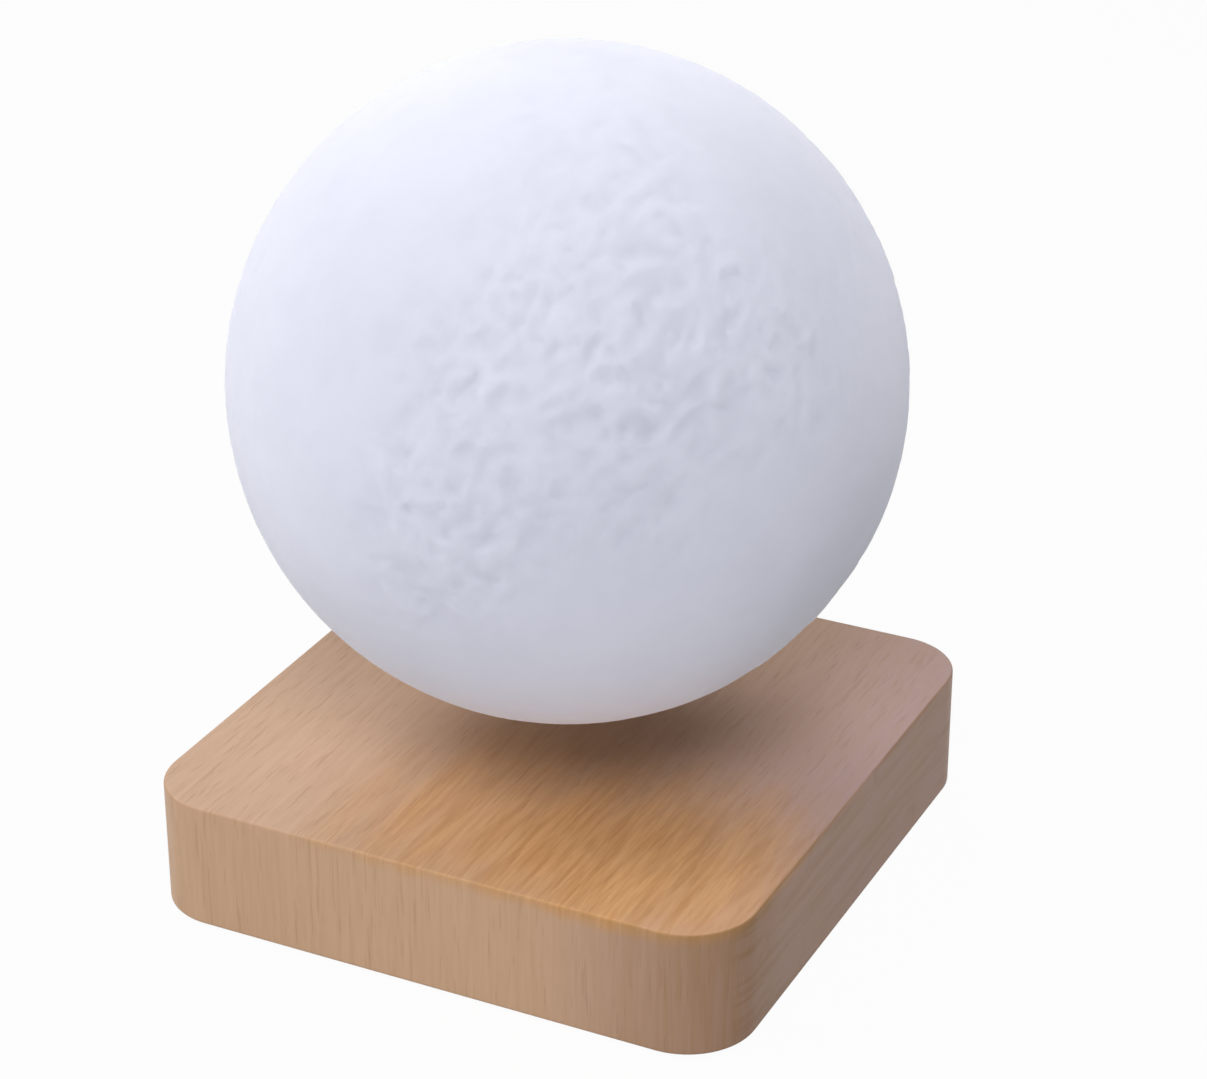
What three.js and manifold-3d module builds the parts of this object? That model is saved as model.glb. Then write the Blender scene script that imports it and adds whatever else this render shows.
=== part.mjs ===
// Levitating moon lamp: a printed moon shell floats over a square wooden base with rounded corners.
// Millimetres, +Z up. The origin lies on the table, under the middle of the base, and -Y is the front.

import * as THREE from 'three';
import { mergeVertices } from 'three/addons/utils/BufferGeometryUtils.js';
import Module from 'manifold-3d';

const wasm = await Module();
wasm.setup();

// Clearances and the overrun of every cut
const seatGap = 0.3;
const overrun = 1;

// Wooden base, milled from below
const baseSide = 134;
const baseHeight = 28;
const baseCornerRadius = 15;
const baseEdgeEase = 0.6;
const baseTopSkin = 3;

// Bottom cover, its feet and its cooling slots
const coverMargin = 6;
const coverThickness = 2.5;
const coverInset = 0.3;
const footRadius = 6;
const footProud = 1;
const footRecess = 1.3;
const footEdge = 0.5;
const footInset = 17;
const ventCount = 5;
const ventLength = 26;
const ventWidth = 2;
const ventPitch = 6;

// Countersunk screws of the cover and of the electronics stack
const screwHeadRadius = 2.75;
const screwHeadHeight = 1.6;
const screwShankRadius = 1.3;
const screwDriveWidth = 0.8;
const screwDriveDepth = 0.9;
const coverScrewInset = 6;
const coverScrewLength = 9;
const stackScrewBite = 6;

// Barrel power socket behind the round recess in the back wall
const jackWall = 6.3;
const jackBoreRadius = 3.15;
const jackBoreDepth = 9;
const jackPinRadius = 1;
const jackPinShort = 0.8;
const jackPinSeat = 2;
const jackBackWall = 2.5;
const jackSideWall = 1.35;
const jackSole = 3.35;
const jackSlotSide = 1.8;
const plugRecessRadius = 6;

// Control board on the bosses of the cover
const boardStandoff = 3;
const boardThickness = 1.6;
const boardInset = 1.5;
const bossRadius = 3.2;
const bossOverlap = 0.6;

// Magnet tray over the board, with the ring magnet in its channel
const trayStandoff = 2.4;
const trayThickness = 1.6;
const trayRimWall = 1.6;
const trayJackRoom = 2;
const ringMagnetEdge = 0.6;
const ringMagnetBoreShare = 0.605;
const sensorPostDrop = 2;
const sensorPostShare = 0.36;
const sensorWidthShare = 0.295;
const sensorHeight = 3;
const sensorThickness = 1.5;

// Four electromagnets inside the ring magnet
const coilClearance = 0.9;
const bobbinFlangeThickness = 0.9;
const bobbinCoreShare = 0.39;
const bobbinPegShare = 0.3;
const bobbinBoreShare = 0.22;
const windingInset = 0.7;

// Power transmitter under the top skin
const ceilingRoom = 0.4;
const coilPlateThickness = 1;
const coilPlateInset = 4;
const powerCoilThickness = 1;
const powerCoilInset = 2.9;
const powerCoilWidth = 15;

// Parts on the control board
const chipPlace = 20;
const chipSide = 7;
const chipHeight = 1.4;
const driverWidth = 5;
const driverLength = 6;
const driverHeight = 1.6;
const inductorSide = 7;
const inductorHeight = 4.5;
const inductorEdge = 1.4;
const capacitorRadius = 4;
const capacitorHeight = 11.5;
const capacitorCrimp = 0.5;
const capacitorRoom = 1.55;
const capacitorTurn = Math.PI / 7;

// Touch electrode on the front wall of the pocket
const electrodeThickness = 0.5;
const electrodeHeight = 12;
const electrodeSweep = THREE.MathUtils.degToRad(36);

// Floating moon
const moonRadius = 70;
const moonWall = 1.2;
const levitationGap = 9;
const reliefDepth = 1.1;
const moonCutDepth = 6;
const moonCollarWall = 2.6;
const moonCollarHeight = 4;

// Cup that closes the moon and holds the floating magnet
const cupFlangeThickness = 2.4;
const cupFlangeInset = 0.4;
const cupFlangeOverlap = 1.27;
const cupFloor = 2.6;
const cupWall = 1.4;
const cupDepth = 15;
const floatMagnetRoom = 1.4;
const floatMagnetHeight = 10;
const floatMagnetEdge = 0.5;
const receiverWidth = 2.6;
const receiverHeight = 5;

// Light source on the cup
const carrierThickness = 1.2;
const carrierPostRadius = 2.6;
const carrierPostHeight = 7;
const carrierPostInset = 5;
const carrierPostCount = 3;
const lightBoardInset = 2.3;
const lightBoardThickness = 1.6;
const lightScrewHeadRadius = 2;
const lightScrewHeadHeight = 1.3;
const lightScrewRadius = 0.9;
const lightScrewBite = 4.5;
const ledCount = 6;
const ledSide = 5;
const ledHeight = 1.5;
const ledInset = 5.5;
const rectifierLength = 5;
const rectifierWidth = 4;
const rectifierHeight = 1.5;
const rectifierPlace = 3.4;
const smoothingRadius = 3;
const smoothingHeight = 5.4;
const smoothingPlace = 3.6;

// Facets of round pieces
const fineSegments = 36;
const roundSegments = 24;
const smallSegments = 12;
const moonSegments = 18;

// Heights above the table
const woodBottom = footProud;
const woodTop = woodBottom + baseHeight;
const pocketCeiling = woodTop - baseTopSkin;
const coverBottom = woodBottom + coverInset;
const coverTop = coverBottom + coverThickness;
const boardBottom = coverTop + boardStandoff;
const boardTop = boardBottom + boardThickness;
const partBottom = boardTop + seatGap;
const trayBottom = boardTop + trayStandoff;
const trayTop = trayBottom + trayThickness;
const magnetBottom = trayTop + seatGap;
const powerCoilTop = pocketCeiling - ceilingRoom;
const powerCoilBottom = powerCoilTop - powerCoilThickness;
const coilPlateTop = powerCoilBottom - seatGap;
const coilPlateBottom = coilPlateTop - coilPlateThickness;
const rimTop = coilPlateBottom - seatGap;
const magnetTop = rimTop - seatGap;
const bobbinTop = rimTop - seatGap;
const moonCentre = woodTop + levitationGap + moonRadius;

// Radii and places that follow from the sizes
const bossAngle = Math.PI / 4;
const quarter = Math.PI / 2;
const coverSide = baseSide - 2 * coverMargin;
const coverCornerRadius = baseCornerRadius - coverMargin;
const footPlace = coverSide / 2 - footInset;
const coverScrewPlace = coverSide / 2 - coverScrewInset;
const screwHoleRadius = screwShankRadius + seatGap;
const stackScrewTip = boardTop + stackScrewBite;
const jackFront = baseSide / 2 - jackWall - seatGap;
const jackLength = jackBoreDepth + jackPinSeat + jackBackWall;
const jackWidth = 2 * (jackBoreRadius + jackSideWall);
const jackAxis = partBottom + jackSole + jackBoreRadius;
const jackTop = jackAxis + jackBoreRadius + jackSideWall;
const trayRadius = jackFront - jackLength - trayJackRoom;
const pocketRadius = trayRadius + 2 * (capacitorRadius + capacitorRoom);
const boardRadius = pocketRadius - boardInset;
const bossPlace = trayRadius + bossRadius - bossOverlap;
const tallPartPlace = (trayRadius + pocketRadius) / 2;
const ringMagnetOuterRadius = trayRadius - trayRimWall - seatGap;
const ringMagnetInnerRadius = ringMagnetOuterRadius * ringMagnetBoreShare;
const innerRimRadius = ringMagnetInnerRadius - seatGap;
const coilRoomRadius = innerRimRadius - trayRimWall;
const bobbinFlangeRadius = (coilRoomRadius - 2 * coilClearance) / (1 + Math.SQRT2);
const bobbinCoreRadius = bobbinFlangeRadius * bobbinCoreShare;
const bobbinPegRadius = bobbinFlangeRadius * bobbinPegShare;
const bobbinBoreRadius = bobbinFlangeRadius * bobbinBoreShare;
const windingRadius = bobbinFlangeRadius - windingInset;
const coilPlace = coilRoomRadius - coilClearance - bobbinFlangeRadius;
const sensorPostSide = coilPlace * sensorPostShare;
const sensorPostTop = magnetTop - sensorPostDrop;
const sensorWidth = coilPlace * sensorWidthShare;

// Levels and radii inside the moon, measured from its centre
const moonCut = moonRadius - moonCutDepth;
const flangeTop = -moonCut - seatGap;
const flangeBottom = flangeTop - cupFlangeThickness;
const flangeRadiusAt = (level) => Math.sqrt(moonRadius ** 2 - level ** 2) - cupFlangeInset;
const moonOpeningRadius = flangeRadiusAt(flangeTop) - cupFlangeOverlap;
const cupRadius = moonOpeningRadius - seatGap;
const cupInnerRadius = cupRadius - cupWall;
const cupFloorTop = flangeBottom + cupFloor;
const cupTop = cupFloorTop + cupDepth;
const receiverRadius = cupInnerRadius - seatGap;
const floatMagnetRadius = receiverRadius - receiverWidth - floatMagnetRoom;
const floatMagnetBottom = cupFloorTop + seatGap;
const floatMagnetTop = floatMagnetBottom + floatMagnetHeight;
const carrierBottom = floatMagnetTop + seatGap;
const carrierTop = carrierBottom + carrierThickness;
const carrierPostTop = carrierTop + carrierPostHeight;
const lightBoardRadius = cupInnerRadius - lightBoardInset;
const lightBoardBottom = carrierPostTop + seatGap;
const lightBoardTop = lightBoardBottom + lightBoardThickness;
const lightPartBottom = lightBoardTop + seatGap;
const lightScrewBottom = lightBoardBottom - lightScrewBite;
const carrierPostPlace = lightBoardRadius - carrierPostInset;
const ledPlace = carrierPostPlace - ledInset;

// Finishes
const finish = (color, roughness, metalness = 0) =>
  new THREE.MeshStandardMaterial({ color, roughness, metalness });
const wood = finish(0xc89f78, 0.6);
const moonPlastic = finish(0xe6e6f0, 0.75);
const whitePlastic = finish(0xe9e8ea, 0.5);
const blackPlastic = finish(0x1c1c1e, 0.55);
const rubber = finish(0x141414, 0.9);
const ferrite = finish(0x2c2b2d, 0.6, 0.2);
const nickel = finish(0xb9bbbd, 0.25, 1);
const steel = finish(0x55565a, 0.35, 1);
const copper = finish(0xb4683a, 0.35, 1);
const circuit = finish(0x1f5a3a, 0.5);
const whiteCircuit = finish(0xe4e4e2, 0.45);
const chipBlack = finish(0x18181a, 0.45);
const canAluminium = finish(0xc4c6c8, 0.3, 1);
const ledYellow = finish(0xe7cf72, 0.3);

const base = new THREE.Group();
const floating = new THREE.Group();
floating.position.z = moonCentre;
const group = new THREE.Group();
group.add(base, floating);

// Solids from geometries, with shared corners merged and the faces turned out
function solid(geometry) {
  const bare = geometry.clone();
  bare.deleteAttribute('normal');
  bare.deleteAttribute('uv');
  const merged = mergeVertices(bare);
  const corners = merged.index.array;
  const kept = [];
  for (let i = 0; i < corners.length; i += 3) {
    const [a, b, c] = [corners[i], corners[i + 1], corners[i + 2]];
    if (a !== b && b !== c && c !== a) {
      kept.push(a, b, c);
    }
  }
  const vertProperties = new Float32Array(merged.attributes.position.array);
  const shape = new wasm.Manifold(new wasm.Mesh({ numProp: 3, vertProperties, triVerts: new Uint32Array(kept) }));
  if (shape.volume() > 0) {
    return shape;
  }
  const flipped = kept.map((corner, i) => kept[i - (i % 3) + 2 - (i % 3)]);
  return new wasm.Manifold(new wasm.Mesh({ numProp: 3, vertProperties, triVerts: new Uint32Array(flipped) }));
}

// Geometry of a solid, flat shaded
function geometryOf(shape) {
  const mesh = shape.getMesh();
  const indexed = new THREE.BufferGeometry();
  const places = new Float32Array(mesh.numVert * 3);
  for (let i = 0; i < mesh.numVert; i += 1) {
    places.set(mesh.vertProperties.subarray(i * mesh.numProp, i * mesh.numProp + 3), i * 3);
  }
  indexed.setAttribute('position', new THREE.BufferAttribute(places, 3));
  indexed.setIndex(new THREE.BufferAttribute(new Uint32Array(mesh.triVerts), 1));
  const flat = indexed.toNonIndexed();
  flat.computeVertexNormals();
  return flat;
}

const joined = (first, ...others) => others.reduce((whole, other) => whole.add(other), first);
const cutBy = (first, ...tools) => tools.reduce((rest, tool) => rest.subtract(tool), first);

function addPiece(parent, name, shape, material, place = [0, 0, 0], turn = 0) {
  const mesh = new THREE.Mesh(geometryOf(shape), material);
  mesh.name = name;
  mesh.position.set(...place);
  mesh.rotation.z = turn;
  parent.add(mesh);
}

// Basic forms, each standing on z = bottom
function block(width, depth, height, x, y, bottom) {
  return solid(new THREE.BoxGeometry(width, depth, height).translate(x, y, bottom + height / 2));
}

function turned(profile, segments) {
  const points = profile.map(([r, z]) => new THREE.Vector2(r, z));
  return solid(new THREE.LatheGeometry(points, segments).rotateX(quarter));
}

function rod(radius, bottom, top, segments, x = 0, y = 0) {
  const upright = new THREE.CylinderGeometry(radius, radius, top - bottom, segments).rotateX(quarter);
  return solid(upright.translate(x, y, (top + bottom) / 2));
}

function washer(inner, outer, bottom, top, segments) {
  return turned([[inner, bottom], [outer, bottom], [outer, top], [inner, top], [inner, bottom]], segments);
}

function roundedSquare(side, radius) {
  const reach = side / 2 - radius;
  const shape = new THREE.Shape();
  shape.moveTo(-reach, -side / 2);
  shape.absarc(reach, -reach, radius, -quarter, 0);
  shape.absarc(reach, reach, radius, 0, quarter);
  shape.absarc(-reach, reach, radius, quarter, 2 * quarter);
  shape.absarc(-reach, -reach, radius, 2 * quarter, 3 * quarter);
  return shape;
}

function plate(shape, bottom, top, curveSegments) {
  const flat = new THREE.ExtrudeGeometry(shape, { depth: top - bottom, bevelEnabled: false, curveSegments });
  return solid(flat.translate(0, 0, bottom));
}

// Places of repeats: four corners of a square, or evenly round the axis
const squareCorners = (reach) => [[reach, reach], [-reach, reach], [-reach, -reach], [reach, -reach]];

function around(count, radius, start = 0) {
  return Array.from({ length: count }, (_, i) => {
    const angle = start + (2 * Math.PI * i) / count;
    return [radius * Math.cos(angle), radius * Math.sin(angle), angle];
  });
}

const bossPlaces = around(4, bossPlace, bossAngle);

// Wooden shell: pocket and socket slot from below, rebate for the cover, plug recess through the back
function baseShell() {
  const outer = new THREE.ExtrudeGeometry(roundedSquare(baseSide, baseCornerRadius), {
    depth: baseHeight - 2 * baseEdgeEase,
    bevelThickness: baseEdgeEase,
    bevelSize: baseEdgeEase,
    bevelOffset: -baseEdgeEase,
    bevelSegments: 2,
    curveSegments: 8,
  }).translate(0, 0, woodBottom + baseEdgeEase);
  const pocket = rod(pocketRadius, woodBottom - overrun, pocketCeiling, fineSegments);
  const slotWidth = jackWidth + 2 * jackSlotSide;
  const slotDepth = jackFront + seatGap;
  const slotHeight = pocketCeiling - woodBottom + overrun;
  const slot = block(slotWidth, slotDepth, slotHeight, 0, slotDepth / 2, woodBottom - overrun);
  const rebateTop = coverTop + seatGap;
  const rebateSide = coverSide + 2 * seatGap;
  const rebateShape = roundedSquare(rebateSide, coverCornerRadius + seatGap);
  const rebate = plate(rebateShape, woodBottom - overrun, rebateTop, 4);
  const recessBack = jackFront - overrun;
  const recess = rodAlongY(plugRecessRadius, recessBack, baseSide / 2 + overrun, roundSegments, jackAxis);
  const pilotTop = coverBottom + coverScrewLength + seatGap;
  const pilots = squareCorners(coverScrewPlace).map(([x, y]) =>
    rod(screwHoleRadius, coverTop, pilotTop, smallSegments, x, y));
  return cutBy(solid(outer), pocket, slot, rebate, recess, ...pilots);
}

// Countersunk hole from the underside of the cover up to a level
function screwHole(x, y, top) {
  const mouth = screwHeadRadius + seatGap;
  const neck = coverBottom + screwHeadHeight + seatGap;
  const profile = [
    [0, coverBottom - overrun],
    [mouth, coverBottom - overrun],
    [mouth, coverBottom],
    [screwHoleRadius, neck],
    [screwHoleRadius, top],
    [0, top],
  ];
  return turned(profile, smallSegments).translate([x, y, 0]);
}

// Cover: a plate in the rebate, with screw bosses, foot recesses and a row of cooling slots
function bottomCover() {
  const face = plate(roundedSquare(coverSide, coverCornerRadius), coverBottom, coverTop, 4);
  const bossTop = boardBottom - seatGap;
  const bosses = bossPlaces.map(([x, y]) =>
    rod(bossRadius, coverTop - coverThickness / 2, bossTop, smallSegments, x, y));
  const feet = squareCorners(footPlace).map(([x, y]) =>
    rod(footRadius + seatGap, coverBottom - overrun, coverBottom + footRecess, smallSegments, x, y));
  const coverHoles = squareCorners(coverScrewPlace).map(([x, y]) => screwHole(x, y, coverTop + overrun));
  const stackHoles = bossPlaces.map(([x, y]) => screwHole(x, y, bossTop + overrun));
  const firstVent = (-ventPitch * (ventCount - 1)) / 2;
  const vents = Array.from({ length: ventCount }, (_, i) => {
    const y = firstVent + i * ventPitch;
    return block(ventLength, ventWidth, coverThickness + 2 * overrun, 0, y, coverBottom - overrun);
  });
  return cutBy(joined(face, ...bosses), ...feet, ...coverHoles, ...stackHoles, ...vents);
}

// Screw with a countersunk head at the bottom and a cross drive
function countersunkScrew(length) {
  const tip = screwShankRadius / 2;
  const profile = [
    [0, 0],
    [screwHeadRadius, 0],
    [screwShankRadius, screwHeadHeight],
    [screwShankRadius, length - screwShankRadius],
    [tip, length],
    [0, length],
  ];
  const driveLength = 2 * screwShankRadius + screwDriveWidth;
  const driveHeight = screwDriveDepth + overrun;
  const along = block(driveLength, screwDriveWidth, driveHeight, 0, 0, -overrun);
  const across = block(screwDriveWidth, driveLength, driveHeight, 0, 0, -overrun);
  return cutBy(turned(profile, smallSegments), along, across);
}

function rubberFoot() {
  const top = coverBottom + footRecess - seatGap;
  const profile = [[0, 0], [footRadius - footEdge, 0], [footRadius, footEdge], [footRadius, top], [0, top]];
  return turned(profile, smallSegments);
}

// Board: a disc with a tongue under the socket, bored for the four stack screws
function controlBoard() {
  const disc = rod(boardRadius, boardBottom, boardTop, fineSegments);
  const tongueWidth = jackWidth + jackSlotSide;
  const tongue = block(tongueWidth, jackFront, boardThickness, 0, jackFront / 2, boardBottom);
  const holes = bossPlaces.map(([x, y]) =>
    rod(screwHoleRadius, boardBottom - overrun, boardTop + overrun, smallSegments, x, y));
  return cutBy(joined(disc, tongue), ...holes);
}

// Tray: a plate with two rims that hold the ring magnet, four legs on the board and a sensor post
function magnetTray() {
  const disc = rod(trayRadius, trayBottom, trayTop, fineSegments);
  const outerRim = washer(trayRadius - trayRimWall, trayRadius, trayBottom, rimTop, fineSegments);
  const innerRim = washer(coilRoomRadius, innerRimRadius, trayBottom, rimTop, roundSegments);
  const legTop = stackScrewTip + seatGap + trayRimWall;
  const legs = bossPlaces.map(([x, y]) => rod(bossRadius, partBottom, legTop, smallSegments, x, y));
  const post = block(sensorPostSide, sensorPostSide, sensorPostTop - trayBottom, 0, 0, trayBottom);
  const pilots = bossPlaces.map(([x, y]) =>
    rod(screwHoleRadius, boardTop - overrun, stackScrewTip + seatGap, smallSegments, x, y));
  const pegHoles = around(4, coilPlace, bossAngle).map(([x, y]) =>
    rod(bobbinPegRadius + seatGap, trayBottom - overrun, trayTop + overrun, smallSegments, x, y));
  return cutBy(joined(disc, outerRim, innerRim, ...legs, post), ...pilots, ...pegHoles);
}

function ringMagnet() {
  const profile = [
    [ringMagnetInnerRadius, magnetBottom],
    [ringMagnetOuterRadius - ringMagnetEdge, magnetBottom],
    [ringMagnetOuterRadius, magnetBottom + ringMagnetEdge],
    [ringMagnetOuterRadius, magnetTop - ringMagnetEdge],
    [ringMagnetOuterRadius - ringMagnetEdge, magnetTop],
    [ringMagnetInnerRadius, magnetTop],
    [ringMagnetInnerRadius, magnetBottom],
  ];
  return turned(profile, fineSegments);
}

// Bobbin: a tube between two flanges, with a peg into the tray
function coilBobbin() {
  const lower = magnetBottom + bobbinFlangeThickness;
  const upper = bobbinTop - bobbinFlangeThickness;
  const profile = [
    [bobbinBoreRadius, trayBottom],
    [bobbinPegRadius, trayBottom],
    [bobbinPegRadius, magnetBottom],
    [bobbinFlangeRadius, magnetBottom],
    [bobbinFlangeRadius, lower],
    [bobbinCoreRadius, lower],
    [bobbinCoreRadius, upper],
    [bobbinFlangeRadius, upper],
    [bobbinFlangeRadius, bobbinTop],
    [bobbinBoreRadius, bobbinTop],
    [bobbinBoreRadius, trayBottom],
  ];
  return turned(profile, smallSegments);
}

function coilWinding() {
  const bottom = magnetBottom + bobbinFlangeThickness + seatGap;
  const top = bobbinTop - bobbinFlangeThickness - seatGap;
  return washer(bobbinCoreRadius + seatGap, windingRadius, bottom, top, smallSegments);
}

// Socket: a square housing with a round bore, and the pin in the middle of the bore
function rodAlongY(radius, back, front, segments, z) {
  const along = new THREE.CylinderGeometry(radius, radius, front - back, segments);
  return solid(along.translate(0, (front + back) / 2, z));
}

function powerJack() {
  const back = jackFront - jackLength;
  const housing = block(jackWidth, jackLength, jackTop - partBottom, 0, jackFront - jackLength / 2, partBottom);
  const bore = rodAlongY(jackBoreRadius, jackFront - jackBoreDepth, jackFront + overrun, smallSegments, jackAxis);
  const seatBack = back + jackBackWall - seatGap;
  const seat = rodAlongY(jackPinRadius + seatGap, seatBack, jackFront, smallSegments, jackAxis);
  return cutBy(housing, bore, seat);
}

function jackPin() {
  const back = jackFront - jackBoreDepth - jackPinSeat;
  return rodAlongY(jackPinRadius, back, jackFront - jackPinShort, smallSegments, jackAxis);
}

// Electrolytic capacitor: a can with a crimped waist near its foot
function canCapacitor(radius, height) {
  const waist = radius - capacitorCrimp;
  const profile = [
    [0, 0],
    [waist, 0],
    [radius, capacitorCrimp],
    [radius, 2 * capacitorCrimp],
    [waist, 3 * capacitorCrimp],
    [radius, 4 * capacitorCrimp],
    [radius, height - capacitorCrimp],
    [waist, height],
    [0, height],
  ];
  return turned(profile, smallSegments);
}

function powerInductor() {
  const shape = roundedSquare(inductorSide, inductorEdge);
  return plate(shape, 0, inductorHeight, 3);
}

// Touch electrode: a strip of foil bent round the front wall of the pocket
function touchElectrode() {
  const outer = pocketRadius - seatGap;
  const inner = outer - electrodeThickness;
  const first = -quarter - electrodeSweep / 2;
  const last = -quarter + electrodeSweep / 2;
  const shape = new THREE.Shape();
  shape.absarc(0, 0, outer, first, last, false);
  shape.absarc(0, 0, inner, last, first, true);
  shape.closePath();
  return plate(shape, partBottom, partBottom + electrodeHeight, smallSegments);
}

// Relief of the moon. Each row is azimuth from the front and elevation in degrees, then the angular
// radius in degrees and the depth as a share of the full relief. A ring form is a raised wall.
const ringFormShares = [
  [28, 17, 9, 0.75],
  [59, 53, 7, 0.45],
  [40, 4, 7, 0.4],
  [57, 28, 8, 0.4],
  [3, -12, 8, 0.35],
  [16, 36, 10, 0.3],
  [-60, 20, 12, 0.5],
  [120, 30, 11, 0.5],
  [170, -10, 13, 0.5],
  [-140, 35, 10, 0.4],
  [-110, -25, 9, 0.4],
  [95, -30, 9, 0.4],
];
const craterShares = [
  [5, 1, 4.6, 0.9],
  [11, -14, 5, 0.8],
  [12, 20, 4.4, 0.7],
  [15, 10, 4, 0.6],
  [31, 11, 4.2, 0.7],
  [36, -1, 4.4, 0.6],
  [53, 54, 4.6, 0.7],
  [39, 43, 4, 0.6],
  [26, 41, 4, 0.45],
  [11, 40, 4.2, 0.4],
  [38, 15, 4.4, 0.5],
  [37, 25, 4, 0.7],
  [48, 31, 4, 0.5],
  [74, 14, 4, 0.4],
  [-7, -1, 4.4, 0.4],
  [-17, 9, 4, 0.35],
  [-18, 41, 4.2, 0.35],
  [74, 40, 5, 0.3],
];
const scatterCount = 90;
const scatterRadiusShares = [3.6, 5.4];
const scatterDepthShares = [0.2, 0.55];
const rimShare = 0.4;
const rimReachShare = 1.6;
const meanShare = 0.42;
const swellShare = 0.14;

const mixed = ([low, high], t) => low + (high - low) * t;

// Repeatable fraction from 0 to 1 for a whole number
function fraction(n) {
  const wide = Math.sin(n * 127.1 + 31.7) * 43758.5453;
  return wide - Math.floor(wide);
}

function directionOf(azimuth, elevation) {
  const a = THREE.MathUtils.degToRad(azimuth);
  const e = THREE.MathUtils.degToRad(elevation);
  return new THREE.Vector3(Math.sin(a) * Math.cos(e), -Math.cos(a) * Math.cos(e), Math.sin(e));
}

// Small craters spread over the whole ball by the golden angle, each pushed a little off its place
function scatteredCraters() {
  const golden = 180 * (3 - Math.sqrt(5));
  return Array.from({ length: scatterCount }, (_, i) => {
    const height = 1 - (2 * (i + fraction(i))) / scatterCount;
    const azimuth = i * golden + 24 * fraction(i + 500);
    const elevation = THREE.MathUtils.radToDeg(Math.asin(height));
    const small = fraction(i + 1000) ** 2;
    return [azimuth, elevation, mixed(scatterRadiusShares, small), mixed(scatterDepthShares, fraction(i + 1500))];
  });
}

const prepared = (rows) => rows.map(([azimuth, elevation, radius, share]) => ({
  middle: directionOf(azimuth, elevation),
  radius: THREE.MathUtils.degToRad(radius),
  share,
}));
const rings = prepared(ringFormShares);
const craters = prepared([...craterShares, ...scatteredCraters()]);

// Height of a crater at t radii from its middle: -1 on the floor, the rim share on the rim
function craterHeight(t) {
  if (t < 1) {
    return -1 + (1 + rimShare) * t ** 3;
  }
  if (t < rimReachShare) {
    return rimShare * (1 - (t - 1) / (rimReachShare - 1)) ** 2;
  }
  return 0;
}

const ringHeight = (t) => Math.exp(-(((t - 1) / 0.28) ** 2)) - 0.45 * Math.exp(-((t / 0.75) ** 2));

function reliefShareAt(direction) {
  const { x, y, z } = direction;
  let height = swellShare * Math.sin(3.1 * x + 1.7 * z + 0.6) * Math.cos(2.7 * y - 1.3 * z);
  rings.forEach(({ middle, radius, share }) => {
    height += share * ringHeight(direction.angleTo(middle) / radius);
  });
  craters.forEach(({ middle, radius, share }) => {
    height += share * craterHeight(direction.angleTo(middle) / radius);
  });
  return THREE.MathUtils.clamp(meanShare - height, 0, 1);
}

// Outside of the moon: a ball of evenly spread squares, pressed in by the relief
const highestRadius = moonRadius + reliefDepth * meanShare;

function moonSurface() {
  const ball = new THREE.BoxGeometry(1, 1, 1, moonSegments, moonSegments, moonSegments);
  const place = ball.attributes.position;
  const spread = (value) => Math.tan(value * quarter);
  for (let i = 0; i < place.count; i += 1) {
    const direction = new THREE.Vector3(spread(place.getX(i)), spread(place.getY(i)), spread(place.getZ(i)));
    direction.normalize();
    const radius = highestRadius - reliefDepth * reliefShareAt(direction);
    place.setXYZ(i, direction.x * radius, direction.y * radius, direction.z * radius);
  }
  return solid(ball);
}

// Inside of the moon: a smooth hollow that narrows to the collar round the opening
function moonHollow() {
  const inner = highestRadius - reliefDepth - moonWall;
  const collarTop = -moonCut + moonCollarHeight;
  const collarRadius = moonOpeningRadius + moonCollarWall;
  const shelf = -Math.sqrt(inner ** 2 - collarRadius ** 2);
  const lowest = Math.max(shelf, collarTop);
  const mouth = -highestRadius - overrun;
  const profile = [[0, mouth], [moonOpeningRadius, mouth]];
  profile.push([moonOpeningRadius, lowest], [Math.sqrt(inner ** 2 - lowest ** 2), lowest]);
  const steps = 8;
  const start = Math.asin(lowest / inner);
  for (let i = 1; i < steps; i += 1) {
    const angle = start + ((quarter - start) * i) / steps;
    profile.push([inner * Math.cos(angle), inner * Math.sin(angle)]);
  }
  profile.push([0, inner]);
  return turned(profile, roundSegments);
}

function moonShell() {
  const capHeight = moonCutDepth + 2 * overrun;
  const wide = 2 * moonRadius;
  const cap = block(wide, wide, capHeight, 0, 0, -moonCut - capHeight);
  return cutBy(moonSurface(), moonHollow(), cap);
}

// Cup: a flange whose edge carries on the curve of the moon, and a wall round the magnet
function floatCup() {
  const profile = [[0, flangeBottom]];
  const steps = 3;
  for (let i = 0; i <= steps; i += 1) {
    const level = flangeBottom + (cupFlangeThickness * i) / steps;
    profile.push([flangeRadiusAt(level), level]);
  }
  profile.push([cupRadius, flangeTop], [cupRadius, cupTop]);
  profile.push([cupInnerRadius, cupTop], [cupInnerRadius, cupFloorTop], [0, cupFloorTop]);
  return turned(profile, roundSegments);
}

function floatMagnet() {
  const profile = [
    [0, floatMagnetBottom],
    [floatMagnetRadius - floatMagnetEdge, floatMagnetBottom],
    [floatMagnetRadius, floatMagnetBottom + floatMagnetEdge],
    [floatMagnetRadius, floatMagnetTop - floatMagnetEdge],
    [floatMagnetRadius - floatMagnetEdge, floatMagnetTop],
    [0, floatMagnetTop],
  ];
  return turned(profile, roundSegments);
}

function receiverCoil() {
  const top = floatMagnetBottom + receiverHeight;
  return washer(receiverRadius - receiverWidth, receiverRadius, floatMagnetBottom, top, roundSegments);
}

// Carrier: a disc over the magnet with three posts for the light board
const postPlaces = around(carrierPostCount, carrierPostPlace, quarter);

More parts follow.
